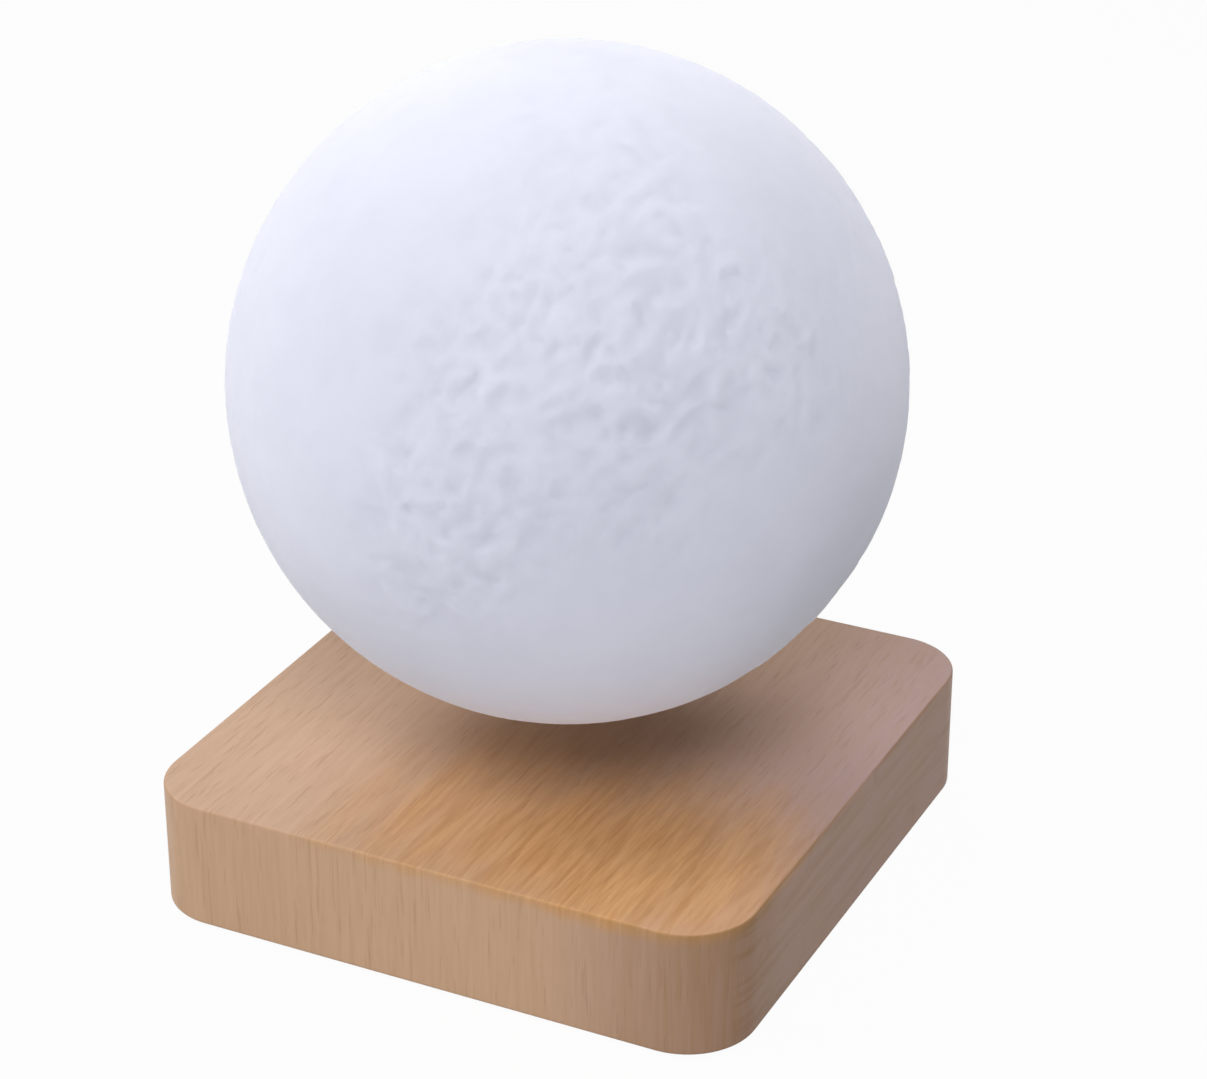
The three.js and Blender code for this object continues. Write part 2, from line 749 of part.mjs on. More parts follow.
function boardCarrier() {
  const disc = rod(cupInnerRadius - seatGap, carrierBottom, carrierTop, roundSegments);
  const posts = postPlaces.map(([x, y]) =>
    rod(carrierPostRadius, carrierBottom, carrierPostTop, smallSegments, x, y));
  const pilots = postPlaces.map(([x, y]) =>
    rod(lightScrewRadius + seatGap, lightScrewBottom - seatGap, lightBoardTop, smallSegments, x, y));
  return cutBy(joined(disc, ...posts), ...pilots);
}

function lightBoard() {
  const disc = rod(lightBoardRadius, lightBoardBottom, lightBoardTop, roundSegments);
  const holes = postPlaces.map(([x, y]) =>
    rod(lightScrewRadius + seatGap, lightBoardBottom - overrun, lightBoardTop + overrun, smallSegments, x, y));
  return cutBy(disc, ...holes);
}

function lightScrew() {
  const profile = [
    [0, lightScrewBottom],
    [lightScrewRadius, lightScrewBottom],
    [lightScrewRadius, lightPartBottom],
    [lightScrewHeadRadius, lightPartBottom],
    [lightScrewHeadRadius, lightPartBottom + lightScrewHeadHeight],
    [0, lightPartBottom + lightScrewHeadHeight],
  ];
  return turned(profile, smallSegments);
}

// Assembly of the base, from the table up
addPiece(base, 'base_shell', baseShell(), wood);
addPiece(base, 'bottom_cover', bottomCover(), blackPlastic);
squareCorners(footPlace).forEach(([x, y], i) => {
  addPiece(base, `rubber_foot_${i + 1}`, rubberFoot(), rubber, [x, y, 0]);
});
squareCorners(coverScrewPlace).forEach(([x, y], i) => {
  addPiece(base, `cover_screw_${i + 1}`, countersunkScrew(coverScrewLength), steel, [x, y, coverBottom]);
});
bossPlaces.forEach(([x, y], i) => {
  const screw = countersunkScrew(stackScrewTip - coverBottom);
  addPiece(base, `stack_screw_${i + 1}`, screw, steel, [x, y, coverBottom]);
});
addPiece(base, 'control_board', controlBoard(), circuit);
addPiece(base, 'magnet_tray', magnetTray(), blackPlastic);
addPiece(base, 'ring_magnet', ringMagnet(), ferrite);
around(4, coilPlace, bossAngle).forEach(([x, y], i) => {
  addPiece(base, `coil_bobbin_${i + 1}`, coilBobbin(), whitePlastic, [x, y, 0]);
  addPiece(base, `coil_winding_${i + 1}`, coilWinding(), copper, [x, y, 0]);
});

// Three field sensors on the post between the coils: two on its sides, one on its top
const sensorOut = sensorPostSide / 2 + seatGap;
const sideSensor = block(sensorThickness, sensorWidth, sensorHeight, sensorOut + sensorThickness / 2, 0, 0);
const sideSensorBottom = sensorPostTop - sensorHeight;
addPiece(base, 'hall_sensor_x', sideSensor, chipBlack, [0, 0, sideSensorBottom]);
addPiece(base, 'hall_sensor_y', sideSensor, chipBlack, [0, 0, sideSensorBottom], quarter);
const topSensor = block(sensorWidth, sensorHeight, sensorThickness, 0, 0, sensorPostTop + seatGap);
addPiece(base, 'hall_sensor_z', topSensor, chipBlack);

// Power transmitter
const coilPlateBore = coilRoomRadius - coilPlateInset;
const coilPlate = washer(coilPlateBore, trayRadius, coilPlateBottom, coilPlateTop, fineSegments);
addPiece(base, 'coil_plate', coilPlate, circuit);
const powerCoilRadius = trayRadius - powerCoilInset;
const powerCoilBore = powerCoilRadius - powerCoilWidth;
const powerCoil = washer(powerCoilBore, powerCoilRadius, powerCoilBottom, powerCoilTop, fineSegments);
addPiece(base, 'power_coil', powerCoil, copper);

// Socket and the parts on the control board
addPiece(base, 'power_jack', powerJack(), blackPlastic);
addPiece(base, 'jack_pin', jackPin(), nickel);
addPiece(base, 'control_chip', block(chipSide, chipSide, chipHeight, 0, -chipPlace, partBottom), chipBlack);
around(2, chipPlace).forEach(([x, y], i) => {
  const driver = block(driverWidth, driverLength, driverHeight, 0, 0, 0);
  addPiece(base, `coil_driver_${i + 1}`, driver, chipBlack, [x, y, partBottom]);
});
addPiece(base, 'power_inductor', powerInductor(), chipBlack, [-tallPartPlace, 0, partBottom]);
const boardCan = canCapacitor(capacitorRadius, capacitorHeight);
[-1, 1].forEach((side, i) => {
  const angle = quarter + side * capacitorTurn;
  const place = [tallPartPlace * Math.cos(angle), tallPartPlace * Math.sin(angle), partBottom];
  addPiece(base, `board_capacitor_${i + 1}`, boardCan, canAluminium, place);
});
addPiece(base, 'touch_electrode', touchElectrode(), copper);

// Assembly of the floating moon
addPiece(floating, 'moon_shell', moonShell(), moonPlastic);
addPiece(floating, 'float_cup', floatCup(), whitePlastic);
addPiece(floating, 'float_magnet', floatMagnet(), nickel);
addPiece(floating, 'receiver_coil', receiverCoil(), copper);
addPiece(floating, 'board_carrier', boardCarrier(), whitePlastic);
addPiece(floating, 'light_board', lightBoard(), whiteCircuit);
postPlaces.forEach(([x, y], i) => {
  addPiece(floating, `light_screw_${i + 1}`, lightScrew(), steel, [x, y, 0]);
});
around(ledCount, ledPlace).forEach(([x, y, angle], i) => {
  const led = block(ledSide, ledSide, ledHeight, 0, 0, 0);
  addPiece(floating, `led_${i + 1}`, led, ledYellow, [x, y, lightPartBottom], angle);
});
const rectifier = block(rectifierLength, rectifierWidth, rectifierHeight, 0, 0, 0);
addPiece(floating, 'rectifier', rectifier, chipBlack, [0, -rectifierPlace, lightPartBottom]);
const smoothingCan = canCapacitor(smoothingRadius, smoothingHeight);
addPiece(floating, 'smoothing_capacitor', smoothingCan, canAluminium, [0, smoothingPlace, lightPartBottom]);

export default group;
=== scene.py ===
import math

import bmesh
import bpy
from mathutils import Matrix, Vector


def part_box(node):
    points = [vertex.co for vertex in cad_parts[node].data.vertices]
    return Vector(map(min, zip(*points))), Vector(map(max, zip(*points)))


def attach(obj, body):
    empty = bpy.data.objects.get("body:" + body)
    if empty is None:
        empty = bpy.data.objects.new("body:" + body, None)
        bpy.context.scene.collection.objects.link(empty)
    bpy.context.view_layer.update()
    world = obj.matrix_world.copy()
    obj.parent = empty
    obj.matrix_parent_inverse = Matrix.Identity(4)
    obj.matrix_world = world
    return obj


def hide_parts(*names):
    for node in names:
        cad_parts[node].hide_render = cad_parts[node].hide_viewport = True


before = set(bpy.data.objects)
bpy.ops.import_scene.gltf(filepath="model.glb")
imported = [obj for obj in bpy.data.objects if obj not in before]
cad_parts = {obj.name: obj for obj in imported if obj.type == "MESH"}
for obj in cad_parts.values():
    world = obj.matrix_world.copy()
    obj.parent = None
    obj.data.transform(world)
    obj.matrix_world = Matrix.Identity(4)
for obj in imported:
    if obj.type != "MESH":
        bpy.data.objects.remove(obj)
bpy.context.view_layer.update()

# Wooden base
# One block of pale wood with round corners and barely eased edges, sanded and finished with satin oil.
# It is milled from below: a rebate for the cover, a round pocket, the socket's slot and bore, screw holes.

MM = 0.001
wood_low, wood_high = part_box("base_shell")
wood_side = wood_high.x - wood_low.x
wood_corner = 15 * MM
wood_ease = 0.6 * MM
pocket_radius = 56 * MM
pocket_ceiling = wood_high.z - 3 * MM
rebate_side = 122.6 * MM
rebate_corner = 9.3 * MM
rebate_ceiling = 4.1 * MM
slot_width = 12.6 * MM
slot_end = 60.7 * MM
slot_corner = 2 * MM
plug_radius = 6 * MM
plug_chamfer = 0.5 * MM
plug_height = 15.2 * MM
backwards = (0, 1, 0)
screw_reach = 55 * MM
pilot_radius = 1.6 * MM
pilot_ceiling = 10.6 * MM
overrun = 1 * MM
arc_steps = 20
edge_steps = 4
support = 0.35 * MM
least_corner = 0.02 * MM
side_share = 0.45
sharp_angle = 32
quarter_turn = math.radians(90)


def linked(name, data):
    """A new object in the scene."""
    made = bpy.data.objects.new(name, data)
    bpy.context.scene.collection.objects.link(made)
    return made


def shaded(piece, sharp=sharp_angle):
    """Smooth shading, broken only at edges of more than so many degrees."""
    piece.data.shade_smooth()
    piece.data.set_sharp_from_angle(angle=math.radians(sharp))
    return piece


def settled(form, name):
    """A bmesh made an object, with its faces turned out and only its real edges sharp."""
    bmesh.ops.recalc_face_normals(form, faces=form.faces)
    mesh = bpy.data.meshes.new(name)
    form.to_mesh(mesh)
    form.free()
    return shaded(linked(name, mesh))


def kept(piece):
    """Puts what the modifiers make of a piece in its own mesh."""
    view = bpy.context.evaluated_depsgraph_get()
    made = bpy.data.meshes.new_from_object(piece.evaluated_get(view))
    piece.modifiers.clear()
    piece.data = made
    return piece


def combined(piece, operation, tools):
    for tool in tools:
        step = piece.modifiers.new(tool.name, "BOOLEAN")
        step.operation = operation
        step.solver = "MANIFOLD"
        step.object = tool
    kept(piece)
    for tool in tools:
        bpy.data.objects.remove(tool)
    return shaded(piece)


def carved(piece, *tools):
    return combined(piece, "DIFFERENCE", tools)


def corner_ring(size, corner, z, centre=(0, 0), steps=arc_steps):
    """Points round an oblong with round corners; one more point beside each arc keeps the sides flat."""
    width, depth = size
    beside = min(support, (min(size) - 2 * corner) / 3)
    ring = []
    for quarter in range(4):
        first = quarter_turn * (quarter - 1)
        diagonal = first + quarter_turn / 2
        x = centre[0] + math.copysign(width / 2 - corner, math.cos(diagonal))
        y = centre[1] + math.copysign(depth / 2 - corner, math.sin(diagonal))
        middle = Vector((x, y, z))
        turns = [first + quarter_turn * step / steps for step in range(steps + 1)]
        arc = [middle + corner * Vector((math.cos(turn), math.sin(turn), 0)) for turn in turns]
        before = arc[0] - beside * Vector((-math.sin(first), math.cos(first), 0))
        last = turns[-1]
        after = arc[-1] + beside * Vector((-math.sin(last), math.cos(last), 0))
        ring += [before, *arc, after]
    return ring


def lofted(rings, name):
    """A closed mesh through rings of equally many points, with a flat face at each end."""
    form = bmesh.new()
    loops = [[form.verts.new(point) for point in ring] for ring in rings]
    count = len(loops[0])
    for lower, upper in zip(loops, loops[1:]):
        for i in range(count):
            j = (i + 1) % count
            form.faces.new((lower[i], lower[j], upper[j], upper[i]))
    form.faces.new(loops[0])
    form.faces.new(loops[-1])
    return settled(form, name)


def slab(size, corner, low, high, name, ease=0, centre=(0, 0), steps=arc_steps):
    """An oblong plate with round corners, its upper and lower edges rounded by ease."""
    levels = [(0, low), (0, high)]
    if ease:
        turns = [quarter_turn * step / edge_steps for step in range(edge_steps + 1)]
        lower = [(ease * (1 - math.sin(turn)), ease * (1 - math.cos(turn))) for turn in turns]
        beside = min(support, ease)
        lower = [(ease + beside, 0), *lower, (0, ease + beside)]
        levels = [(inset, low + rise) for inset, rise in lower]
        levels += [(inset, high - rise) for inset, rise in reversed(lower)]
    rings = []
    for inset, z in levels:
        inner_size = [length - 2 * inset for length in size]
        rings.append(corner_ring(inner_size, max(corner - inset, least_corner), z, centre, steps))
    return lofted(rings, name)


def lathe(profile, name, segments=64, centre=(0, 0), turned_to=None):
    """Turns a line of (radius, height) points about an axis. A line with both ends off it is closed."""
    form = bmesh.new()
    loops = []
    for radius, height in profile:
        if radius == 0:
            loops.append([form.verts.new((0, 0, height))])
            continue
        turns = [2 * math.pi * i / segments for i in range(segments)]
        loops.append([form.verts.new((radius * math.cos(t), radius * math.sin(t), height)) for t in turns])
    pairs = list(zip(loops, loops[1:]))
    if len(loops[0]) > 1 and len(loops[-1]) > 1:
        pairs.append((loops[-1], loops[0]))
    for lower, upper in pairs:
        for i in range(segments):
            j = (i + 1) % segments
            corners = [ring[k % len(ring)] for ring, k in ((lower, i), (lower, j), (upper, j), (upper, i))]
            form.faces.new(list(dict.fromkeys(corners)))
    if turned_to is not None:
        spin = Vector((0, 0, 1)).rotation_difference(Vector(turned_to)).to_matrix()
        bmesh.ops.rotate(form, verts=form.verts, matrix=spin)
    bmesh.ops.translate(form, verts=form.verts, vec=(*centre, 0))
    return settled(form, name)


def shifted(piece, x, y, z):
    """Moves the mesh of a piece, so that its object stays at the origin."""
    for vertex in piece.data.vertices:
        vertex.co += Vector((x, y, z))
    return piece


def rounded(profile, radius, steps=3, closed=False):
    """The same line with its corners rounded; end points and points on the axis stay."""
    made = []
    count = len(profile)
    for i, point in enumerate(profile):
        here = Vector(point)
        if not closed and i in (0, count - 1):
            made.append(point)
            continue
        back = Vector(profile[i - 1]) - here
        ahead = Vector(profile[(i + 1) % count]) - here
        reach = min(radius, back.length * side_share, ahead.length * side_share)
        start = here + back.normalized() * reach
        end = here + ahead.normalized() * reach
        for step in range(steps + 1):
            t = step / steps
            made.append(tuple(start * (1 - t) ** 2 + here * (2 * t * (1 - t)) + end * t ** 2))
    return made


def lying(line, name, segments):
    """A piece turned about the axis of the plug, from (radius, place from front to back)."""
    return shifted(lathe(line, name, segments, turned_to=backwards), 0, 0, plug_height)


def drill(radius, low, high, name, centre=(0, 0), segments=32):
    return lathe([(0, low), (radius, low), (radius, high), (0, high)], name, segments, centre)


def corners_at(reach):
    """The four corners of a square round the middle."""
    return [(reach, reach), (-reach, reach), (-reach, -reach), (reach, -reach)]


wood_size = (wood_side, wood_side)
wood = slab(wood_size, wood_corner, wood_low.z, wood_high.z, "wooden_base", wood_ease)
below = wood_low.z - overrun
pocket = drill(pocket_radius, below, pocket_ceiling, "pocket", segments=128)
slot = slab((slot_width, slot_end), slot_corner, below, pocket_ceiling, "slot", centre=(0, slot_end / 2))
rebate = slab((rebate_side, rebate_side), rebate_corner, below, rebate_ceiling, "rebate")
outside = wood_side / 2
bore_line = [
    (0, slot_end - overrun),
    (plug_radius, slot_end - overrun),
    (plug_radius, outside - plug_chamfer),
    (plug_radius + plug_chamfer + overrun, outside + overrun),
    (0, outside + overrun),
]
bore = lying(bore_line, "bore", 64)
pilots = [drill(pilot_radius, below, pilot_ceiling, "pilot", centre) for centre in corners_at(screw_reach)]
carved(wood, pocket, slot, rebate, bore, *pilots)


class Wire:
    """An output of a node. Sums and products of wires add their own Math nodes."""

    def __init__(self, tree, socket):
        self.tree = tree
        self.socket = socket

    def __add__(self, other):
        return self.tree.maths("ADD", self, other)

    def __sub__(self, other):
        return self.tree.maths("SUBTRACT", self, other)

    def __rsub__(self, other):
        return self.tree.maths("SUBTRACT", other, self)

    def __mul__(self, other):
        return self.tree.maths("MULTIPLY", self, other)

    def __truediv__(self, other):
        return self.tree.maths("DIVIDE", self, other)

    def above(self, low, high):
        """0 up to low, 1 from high on, and a smooth rise between."""
        settings = {"interpolation_type": "SMOOTHSTEP"}
        values = {"Value": self, "From Min": low, "From Max": high}
        return self.tree.node("ShaderNodeMapRange", settings, values)

    def other(self, name):
        """Another output of the same node."""
        return Wire(self.tree, self.socket.node.outputs[name])

    __radd__ = __add__
    __rmul__ = __mul__


class Tree:
    """The nodes of a material, of the world or of a Geometry Nodes group, all added by one method."""

    def __init__(self, node_tree):
        self.nodes = node_tree.nodes
        self.links = node_tree.links

    def node(self, kind, settings=None, values=None, output=0):
        made = self.nodes.new(kind)
        for name, value in (settings or {}).items():
            if name == "curve":
                self.shape_curve(made.mapping, value)
            else:
                setattr(made, name, value)
        for name, value in (values or {}).items():
            if isinstance(value, Wire):
                self.links.new(value.socket, made.inputs[name])
            else:
                made.inputs[name].default_value = value
        return Wire(self, made.outputs[output]) if made.outputs else made

    def shape_curve(self, mapping, points):
        mapping.extend = "HORIZONTAL"
        mapping.clip_max_x = points[-1][0]
        mapping.clip_min_y = -1
        curve = mapping.curves[0]
        for x, y in points[2:]:
            curve.points.new(x, y)
        for point, place in zip(curve.points, points):
            point.location = place
        mapping.update()

    def maths(self, operation, *values):
        return self.node("ShaderNodeMath", {"operation": operation}, dict(enumerate(values)))

    def vector(self, operation, first, second=(0, 0, 0), output=0):
        """Vector maths, in which only a scale takes a number for its second value."""
        key = "Scale" if operation == "SCALE" else 1
        return self.node("ShaderNodeVectorMath", {"operation": operation}, {0: first, key: second}, output)

    def noise(self, place, scale, detail=2, rough=0.5, warp=0):
        values = {"Vector": place, "Scale": scale, "Detail": detail, "Roughness": rough, "Distortion": warp}
        return self.node("ShaderNodeTexNoise", {}, values)

    def blend(self, share, first, second):
        """A colour between two colours."""
        first = first if isinstance(first, Wire) else (*first, 1)
        second = second if isinstance(second, Wire) else (*second, 1)
        values = {0: share, 6: first, 7: second}
        return self.node("ShaderNodeMix", {"data_type": "RGBA"}, values, 2)

    def here(self):
        """Object coordinates."""
        return self.node("ShaderNodeTexCoord", output="Object")

    def place(self, stretch=(1, 1, 1), turn=(0, 0, 0)):
        """Object coordinates, stretched by the inverse of the given scale and turned."""
        values = {"Vector": self.here(), "Scale": stretch, "Rotation": turn}
        return self.node("ShaderNodeMapping", {}, values)


def cleared(owner):
    """The emptied tree of a material or of the world."""
    owner.use_nodes = True
    owner.node_tree.nodes.clear()
    return Tree(owner.node_tree)


def finished(name, colour, rough, fixed, bump):
    """A material that ends in one Principled shader. The functions colour, rough and bump make the nodes of
    what varies, and fixed holds the values of its other sockets."""
    material = bpy.data.materials.new(name)
    tree = cleared(material)
    values = {"Base Color": colour(tree), "Roughness": rough(tree), **fixed}
    height, distance = bump(tree)
    values["Normal"] = tree.node("ShaderNodeBump", {}, {"Height": height, "Distance": distance})
    shader = tree.node("ShaderNodeBsdfPrincipled", {}, values)
    tree.node("ShaderNodeOutputMaterial", {}, {"Surface": shader})
    return material


# Colours and grain of the wood: fibres run from front to back on the top and upright on the front.
# They lie in upright planes, so they vary quickly only from side to side. The sides carry painted shade.

# Painted reflection: the pale tone is the wood's colour with the satin sheen of the white surroundings
# painted in
wood_pale = (0.58, 0.385, 0.262)
wood_pale_streak = (0.445, 0.275, 0.17)
# Painted shade: a darker, mauve tone over the right part of the block, on its top and on its sides
wood_right_shade = (0.455, 0.321, 0.303)
wood_right_shade_side = (0.41, 0.272, 0.236)
# The golden tone is the wood without that painted sheen, in a patch at the front of the top, under the ball
wood_gold = (0.65, 0.365, 0.165)
wood_gold_streak = (0.44, 0.21, 0.075)
wood_pore = (0.25, 0.115, 0.05)
sheen_gap_middle = (0.027, -0.047, 0.029)
sheen_gap_size = (0.052, 0.037, 0.003)
right_shade_reach = (0.01, 0.075)
# Painted shade: this colour darkens the side faces, more at the front right corner and in a thin band under
# the top
wood_shade_and_grain = (0.23, 0.12, 0.03)
# edge; the long grain streaks of the left and right faces are drawn in it too
side_shade_share = 0.17
side_fade = 0.2 * MM
rim_share = 0.1
rim_reach = (wood_high.z - 0.7 * MM, wood_high.z - 0.5 * MM)
corner_reach = (0.095, 0.128)
grain_turn = (0, 0, math.radians(5))
fibre_stretch = (1, 0.07, 0.05)
pore_stretch = (1, 0.07, 0.05)
band_stretch = (1, 0.12, 0.1)
long_stretch = (0.05, 0.07, 1)
long_turn = (math.radians(4), 0, 0)
long_scale = 420
long_reach = (wood_high.x - 2.5 * MM, wood_high.x - 0.5 * MM)
fibre_scale = 900
fibre_reach = (0.3, 0.72)
pore_scale = 1700
pore_reach = (0.6, 0.72)
pore_share = 0.16
band_scale = 120
band_share = 0.8
streak_share = 0.62
streak_floor_share = 0.1
pale_streak_share = 0.45
sheen_gap_reach = (0.25, 1.35)
sheen_gap_waver_share = 0.9
corner_streak_share = 0.5
corner_share = 0.05
long_share = 0.22
long_streak_reach = (0.42, 0.66)
noise_middle = 0.5
wood_relief = 0.05 * MM
wood_gloss_shares = (0.36, 0.12)
wood_bump_shares = (0.4, 0.8)


def wood_fibre(tree):
    return tree.noise(tree.place(fibre_stretch, grain_turn), fibre_scale, detail=4, rough=0.6)


def wood_pores(tree):
    return tree.noise(tree.place(pore_stretch, grain_turn), pore_scale, detail=1).above(*pore_reach)


def wood_bands(tree, warp=0):
    return tree.noise(tree.place(band_stretch, grain_turn), band_scale, warp=warp)


def sheen_gap_patch(tree):
    """1 in the golden patch at the front of the top, where the painted sheen is left out, and 0 away from
    it.
    """
    away = tree.vector("DIVIDE", tree.vector("SUBTRACT", tree.here(), sheen_gap_middle), sheen_gap_size)
    waver = (wood_bands(tree) - noise_middle) * sheen_gap_waver_share
    return 1 - (tree.vector("LENGTH", away, output="Value") + waver).above(*sheen_gap_reach)


def long_grain(tree, across):
    """Long streaks on the left and right faces, where the fibres are cut along."""
    beside = tree.maths("ABSOLUTE", across).above(*long_reach)
    streaks = tree.noise(tree.place(long_stretch, long_turn), long_scale, detail=3, rough=0.6, warp=0.4)
    return streaks.above(*long_streak_reach) * beside


def wood_colour(tree):
    bands = wood_bands(tree, warp=0.6)
    share = (wood_fibre(tree).above(*fibre_reach) + bands * band_share) * streak_share - streak_floor_share
    sheen_gap = sheen_gap_patch(tree)
    across = tree.node("ShaderNodeSeparateXYZ", {}, {"Vector": tree.here()})
    up = across.other("Z")
    edge = 1 - up.above(wood_high.z - side_fade, wood_high.z)
    # Painted shade: the right part of the block, top and sides, turns to a darker mauve tone
    right_shade = tree.blend(edge, wood_right_shade, wood_right_shade_side)
    pale = tree.blend(across.above(*right_shade_reach), wood_pale, right_shade)
    # Painted reflection: the sheen painted into the pale tone is left out in the golden patch, where the
    # ball is reflected
    light = tree.blend(sheen_gap, pale, wood_gold)
    streak = tree.blend(sheen_gap, wood_pale_streak, wood_gold_streak)
    tone = tree.blend(share * (pale_streak_share + sheen_gap * (1 - pale_streak_share)), light, streak)
    # Painted shade on the front right corner, streaked along the fibres
    corner = (across - across.other("Y")).above(*corner_reach)
    corner = corner * (wood_fibre(tree) * corner_streak_share + corner_share)
    # Painted shade in a thin band under the top edge, where the eased edge would catch the light
    rim = up.above(*rim_reach) * rim_share
    # Painted shade over all the sides, with the long grain streaks added in the same colour
    shade_and_grain = corner + rim + long_grain(tree, across) * long_share + side_shade_share
    tone = tree.blend(edge * shade_and_grain, tone, wood_shade_and_grain)
    return tree.blend(wood_pores(tree) * pore_share, tone, wood_pore)


def wood_rough(tree):
    least, more = wood_gloss_shares
    return least + wood_fibre(tree) * more


def wood_bump(tree):
    raised, sunk = wood_bump_shares
    return wood_fibre(tree) * raised - wood_pores(tree) * sunk, wood_relief


def dressed(piece, material):
    """Gives the whole piece one material."""
    piece.data.materials.clear()
    piece.data.materials.append(material)
    piece.data.polygons.foreach_set("material_index", [0] * len(piece.data.polygons))


def placed(piece, material, body, slot, *nodes):
    """Gives a piece its finish and its body, and hides the CAD nodes that it stands for, if any."""
    dressed(piece, material)
    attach(piece, body)
    if nodes:
        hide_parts(*nodes)


wood_fixed = {"IOR": 1.45, "Specular IOR Level": 0.1}
wood_finish = finished("satin_oiled_wood", wood_colour, wood_rough, wood_fixed, wood_bump)
placed(wood, wood_finish, "base", "wood", "base_shell")

# Moon shell
# A ball printed in white plastic, with the low relief of the moon's surface on its outside.
# It is cut flat at the bottom, where a collar inside the wall takes the cup with the magnet.

moon_centre = Vector((0, 0, 108 * MM))
moon_radius = 69.8 * MM
moon_top_radius = 69.9 * MM
moon_inner = 68.16 * MM
moon_cut = 64 * MM
moon_opening = 26 * MM
moon_shelf = 60 * MM
relief_depth = 0.2 * MM
rough_depth = 0.4 * MM
relief_ease = 0.3 * MM
ground_depth = 0.05 * MM
swell_depth = 0.4 * MM
form_warp = 0.12
form_warp_scale = 6
ridge_lie = (0.5, 0.6, 0.63)
ridge_stretch = 0.3
crease_scale = 13
crease_width = 0.18
coarse_scale = 20
fine_scale = 34
swell_scale = 2.2
coarse_share = 1.8
fine_share = 0.7
ridge_share = 0.6
sunk_share = 0.8
eighth_turn = math.pi / 4
hollow_steps = 40
ball_facets = 120

# Each row is azimuth from the front and elevation in degrees, angular radius in degrees, and strength
pit_shares = [
    (5, 1, 2.9, 1.0), (11, -14, 3.3, 0.5), (11, 22, 2.3, 0.7), (13, 17, 2.3, 0.7), (15, 11, 2.5, 0.8),
    (31, 11, 3.2, 1.0), (36, -1, 3.2, 0.8), (53, 54, 3.0, 0.9), (39, 43, 2.3, 0.8), (26, 41, 2.3, 0.6),
    (11, 40, 2.6, 0.5), (38, 14, 3.8, 0.8), (36, 24, 2.3, 0.9), (48, 31, 2.6, 0.7), (56, 27, 2.3, 0.6),
    (31, 29, 2.4, 0.6), (33, 45, 1.9, 0.6), (9, 34, 2.0, 0.5), (0, 34, 2.0, 0.4), (-3, 25, 1.9, 0.6),
    (26, 17, 2.0, 0.5), (20, 21, 3.1, 0.7), (41, 21, 2.6, 0.5), (-7, -1, 2.6, 0.5), (-27, -9, 2.3, 0.5),
    (-17, 9, 2.3, 0.4), (74, 14, 2.1, 0.5), (60, 18, 1.9, 0.4), (-18, 41, 2.3, 0.4), (60, 37, 2.0, 0.5),
    (74, 40, 3.2, 0.3), (22, 31, 1.8, 0.4), (4, 28, 2.3, 0.4), (26, -4, 4.6, 0.3), (86, 31, 2.3, 0.4),
    (33, 52, 2.0, 0.4),
]
ring_shares = [
    (28, 17, 7.2, 0.9), (59, 53, 5.2, 0.5), (16, 36, 9, 0.35), (3, -12, 6.2, 0.4), (40, 5, 5.7, 0.5),
    (57, 28, 6.1, 0.4), (-60, 20, 9, 0.5), (120, 30, 8, 0.5), (170, -10, 10, 0.5), (-140, 35, 8, 0.4),
    (-110, -25, 7, 0.4), (95, -30, 7, 0.4), (-165, 12, 6, 0.5),
]
rough_shares = [
    (22, 18, 24, 0.8), (6, 0, 16, 0.9), (6, -12, 14, 0.7), (30, 42, 18, 0.4), (52, 30, 20, 0.9),
    (0, 24, 14, 0.5), (40, 4, 14, 0.4), (44, 60, 16, 0.4), (8, 44, 12, 0.3), (66, 18, 15, 0.55),
    (-75, 12, 30, 0.7), (125, 25, 32, 0.8), (175, -8, 34, 0.9), (-135, 30, 28, 0.7), (-110, -30, 24, 0.6),
    (110, -35, 22, 0.6), (0, 85, 24, 0.4),
]
pit_curve = [(0, -1), (0.35, -0.95), (0.7, -0.6), (0.88, 0.05), (1, 0.42), (1.15, 0.3), (1.5, 0.06), (2, 0)]
ring_curve = [(0, -0.4), (0.5, -0.32), (0.75, 0.05), (1, 0.9), (1.2, 0.5), (1.5, 0.08), (2, 0)]
rough_curve = [(0, 1), (0.5, 0.85), (0.8, 0.5), (1, 0.25), (1.3, 0.06), (2, 0)]
scatter_count = 320
scatter_turn = 24
scatter_sizes = (1.4, 3.4)
scatter_shares = (0.3, 0.6)
scatter_seed = 500
mix_step, mix_start, mix_spread = (127.1, 31.7, 43758.5453)
seen_side = (28, 23)
seen_reach = 72


def fraction(n):
    """A repeatable number from 0 to 1 for a whole number."""
    wide = math.sin(n * mix_step + mix_start) * mix_spread
    return wide - math.floor(wide)


def direction(azimuth, elevation):
    a = math.radians(azimuth)
    e = math.radians(elevation)
    return Vector((math.sin(a) * math.cos(e), -math.cos(a) * math.cos(e), math.sin(e)))


def scattered_pits():
    """Small pits over the far side, by the golden angle, each a little off its place."""
    golden = 180 * (3 - math.sqrt(5))
    least_size, more_size = scatter_sizes
    least_share, more_share = scatter_shares
    rows = []
    for i in range(scatter_count):
        height = 1 - 2 * (i + fraction(i)) / scatter_count
        azimuth = i * golden + scatter_turn * fraction(i + scatter_seed)
        row = (azimuth, math.degrees(math.asin(height)))
        size = least_size + more_size * fraction(i + 2 * scatter_seed) ** 3
        share = least_share + more_share * fraction(i + 3 * scatter_seed)
        if math.degrees(direction(*row).angle(direction(*seen_side))) > seen_reach:
            rows.append((*row, size, share))
    return rows


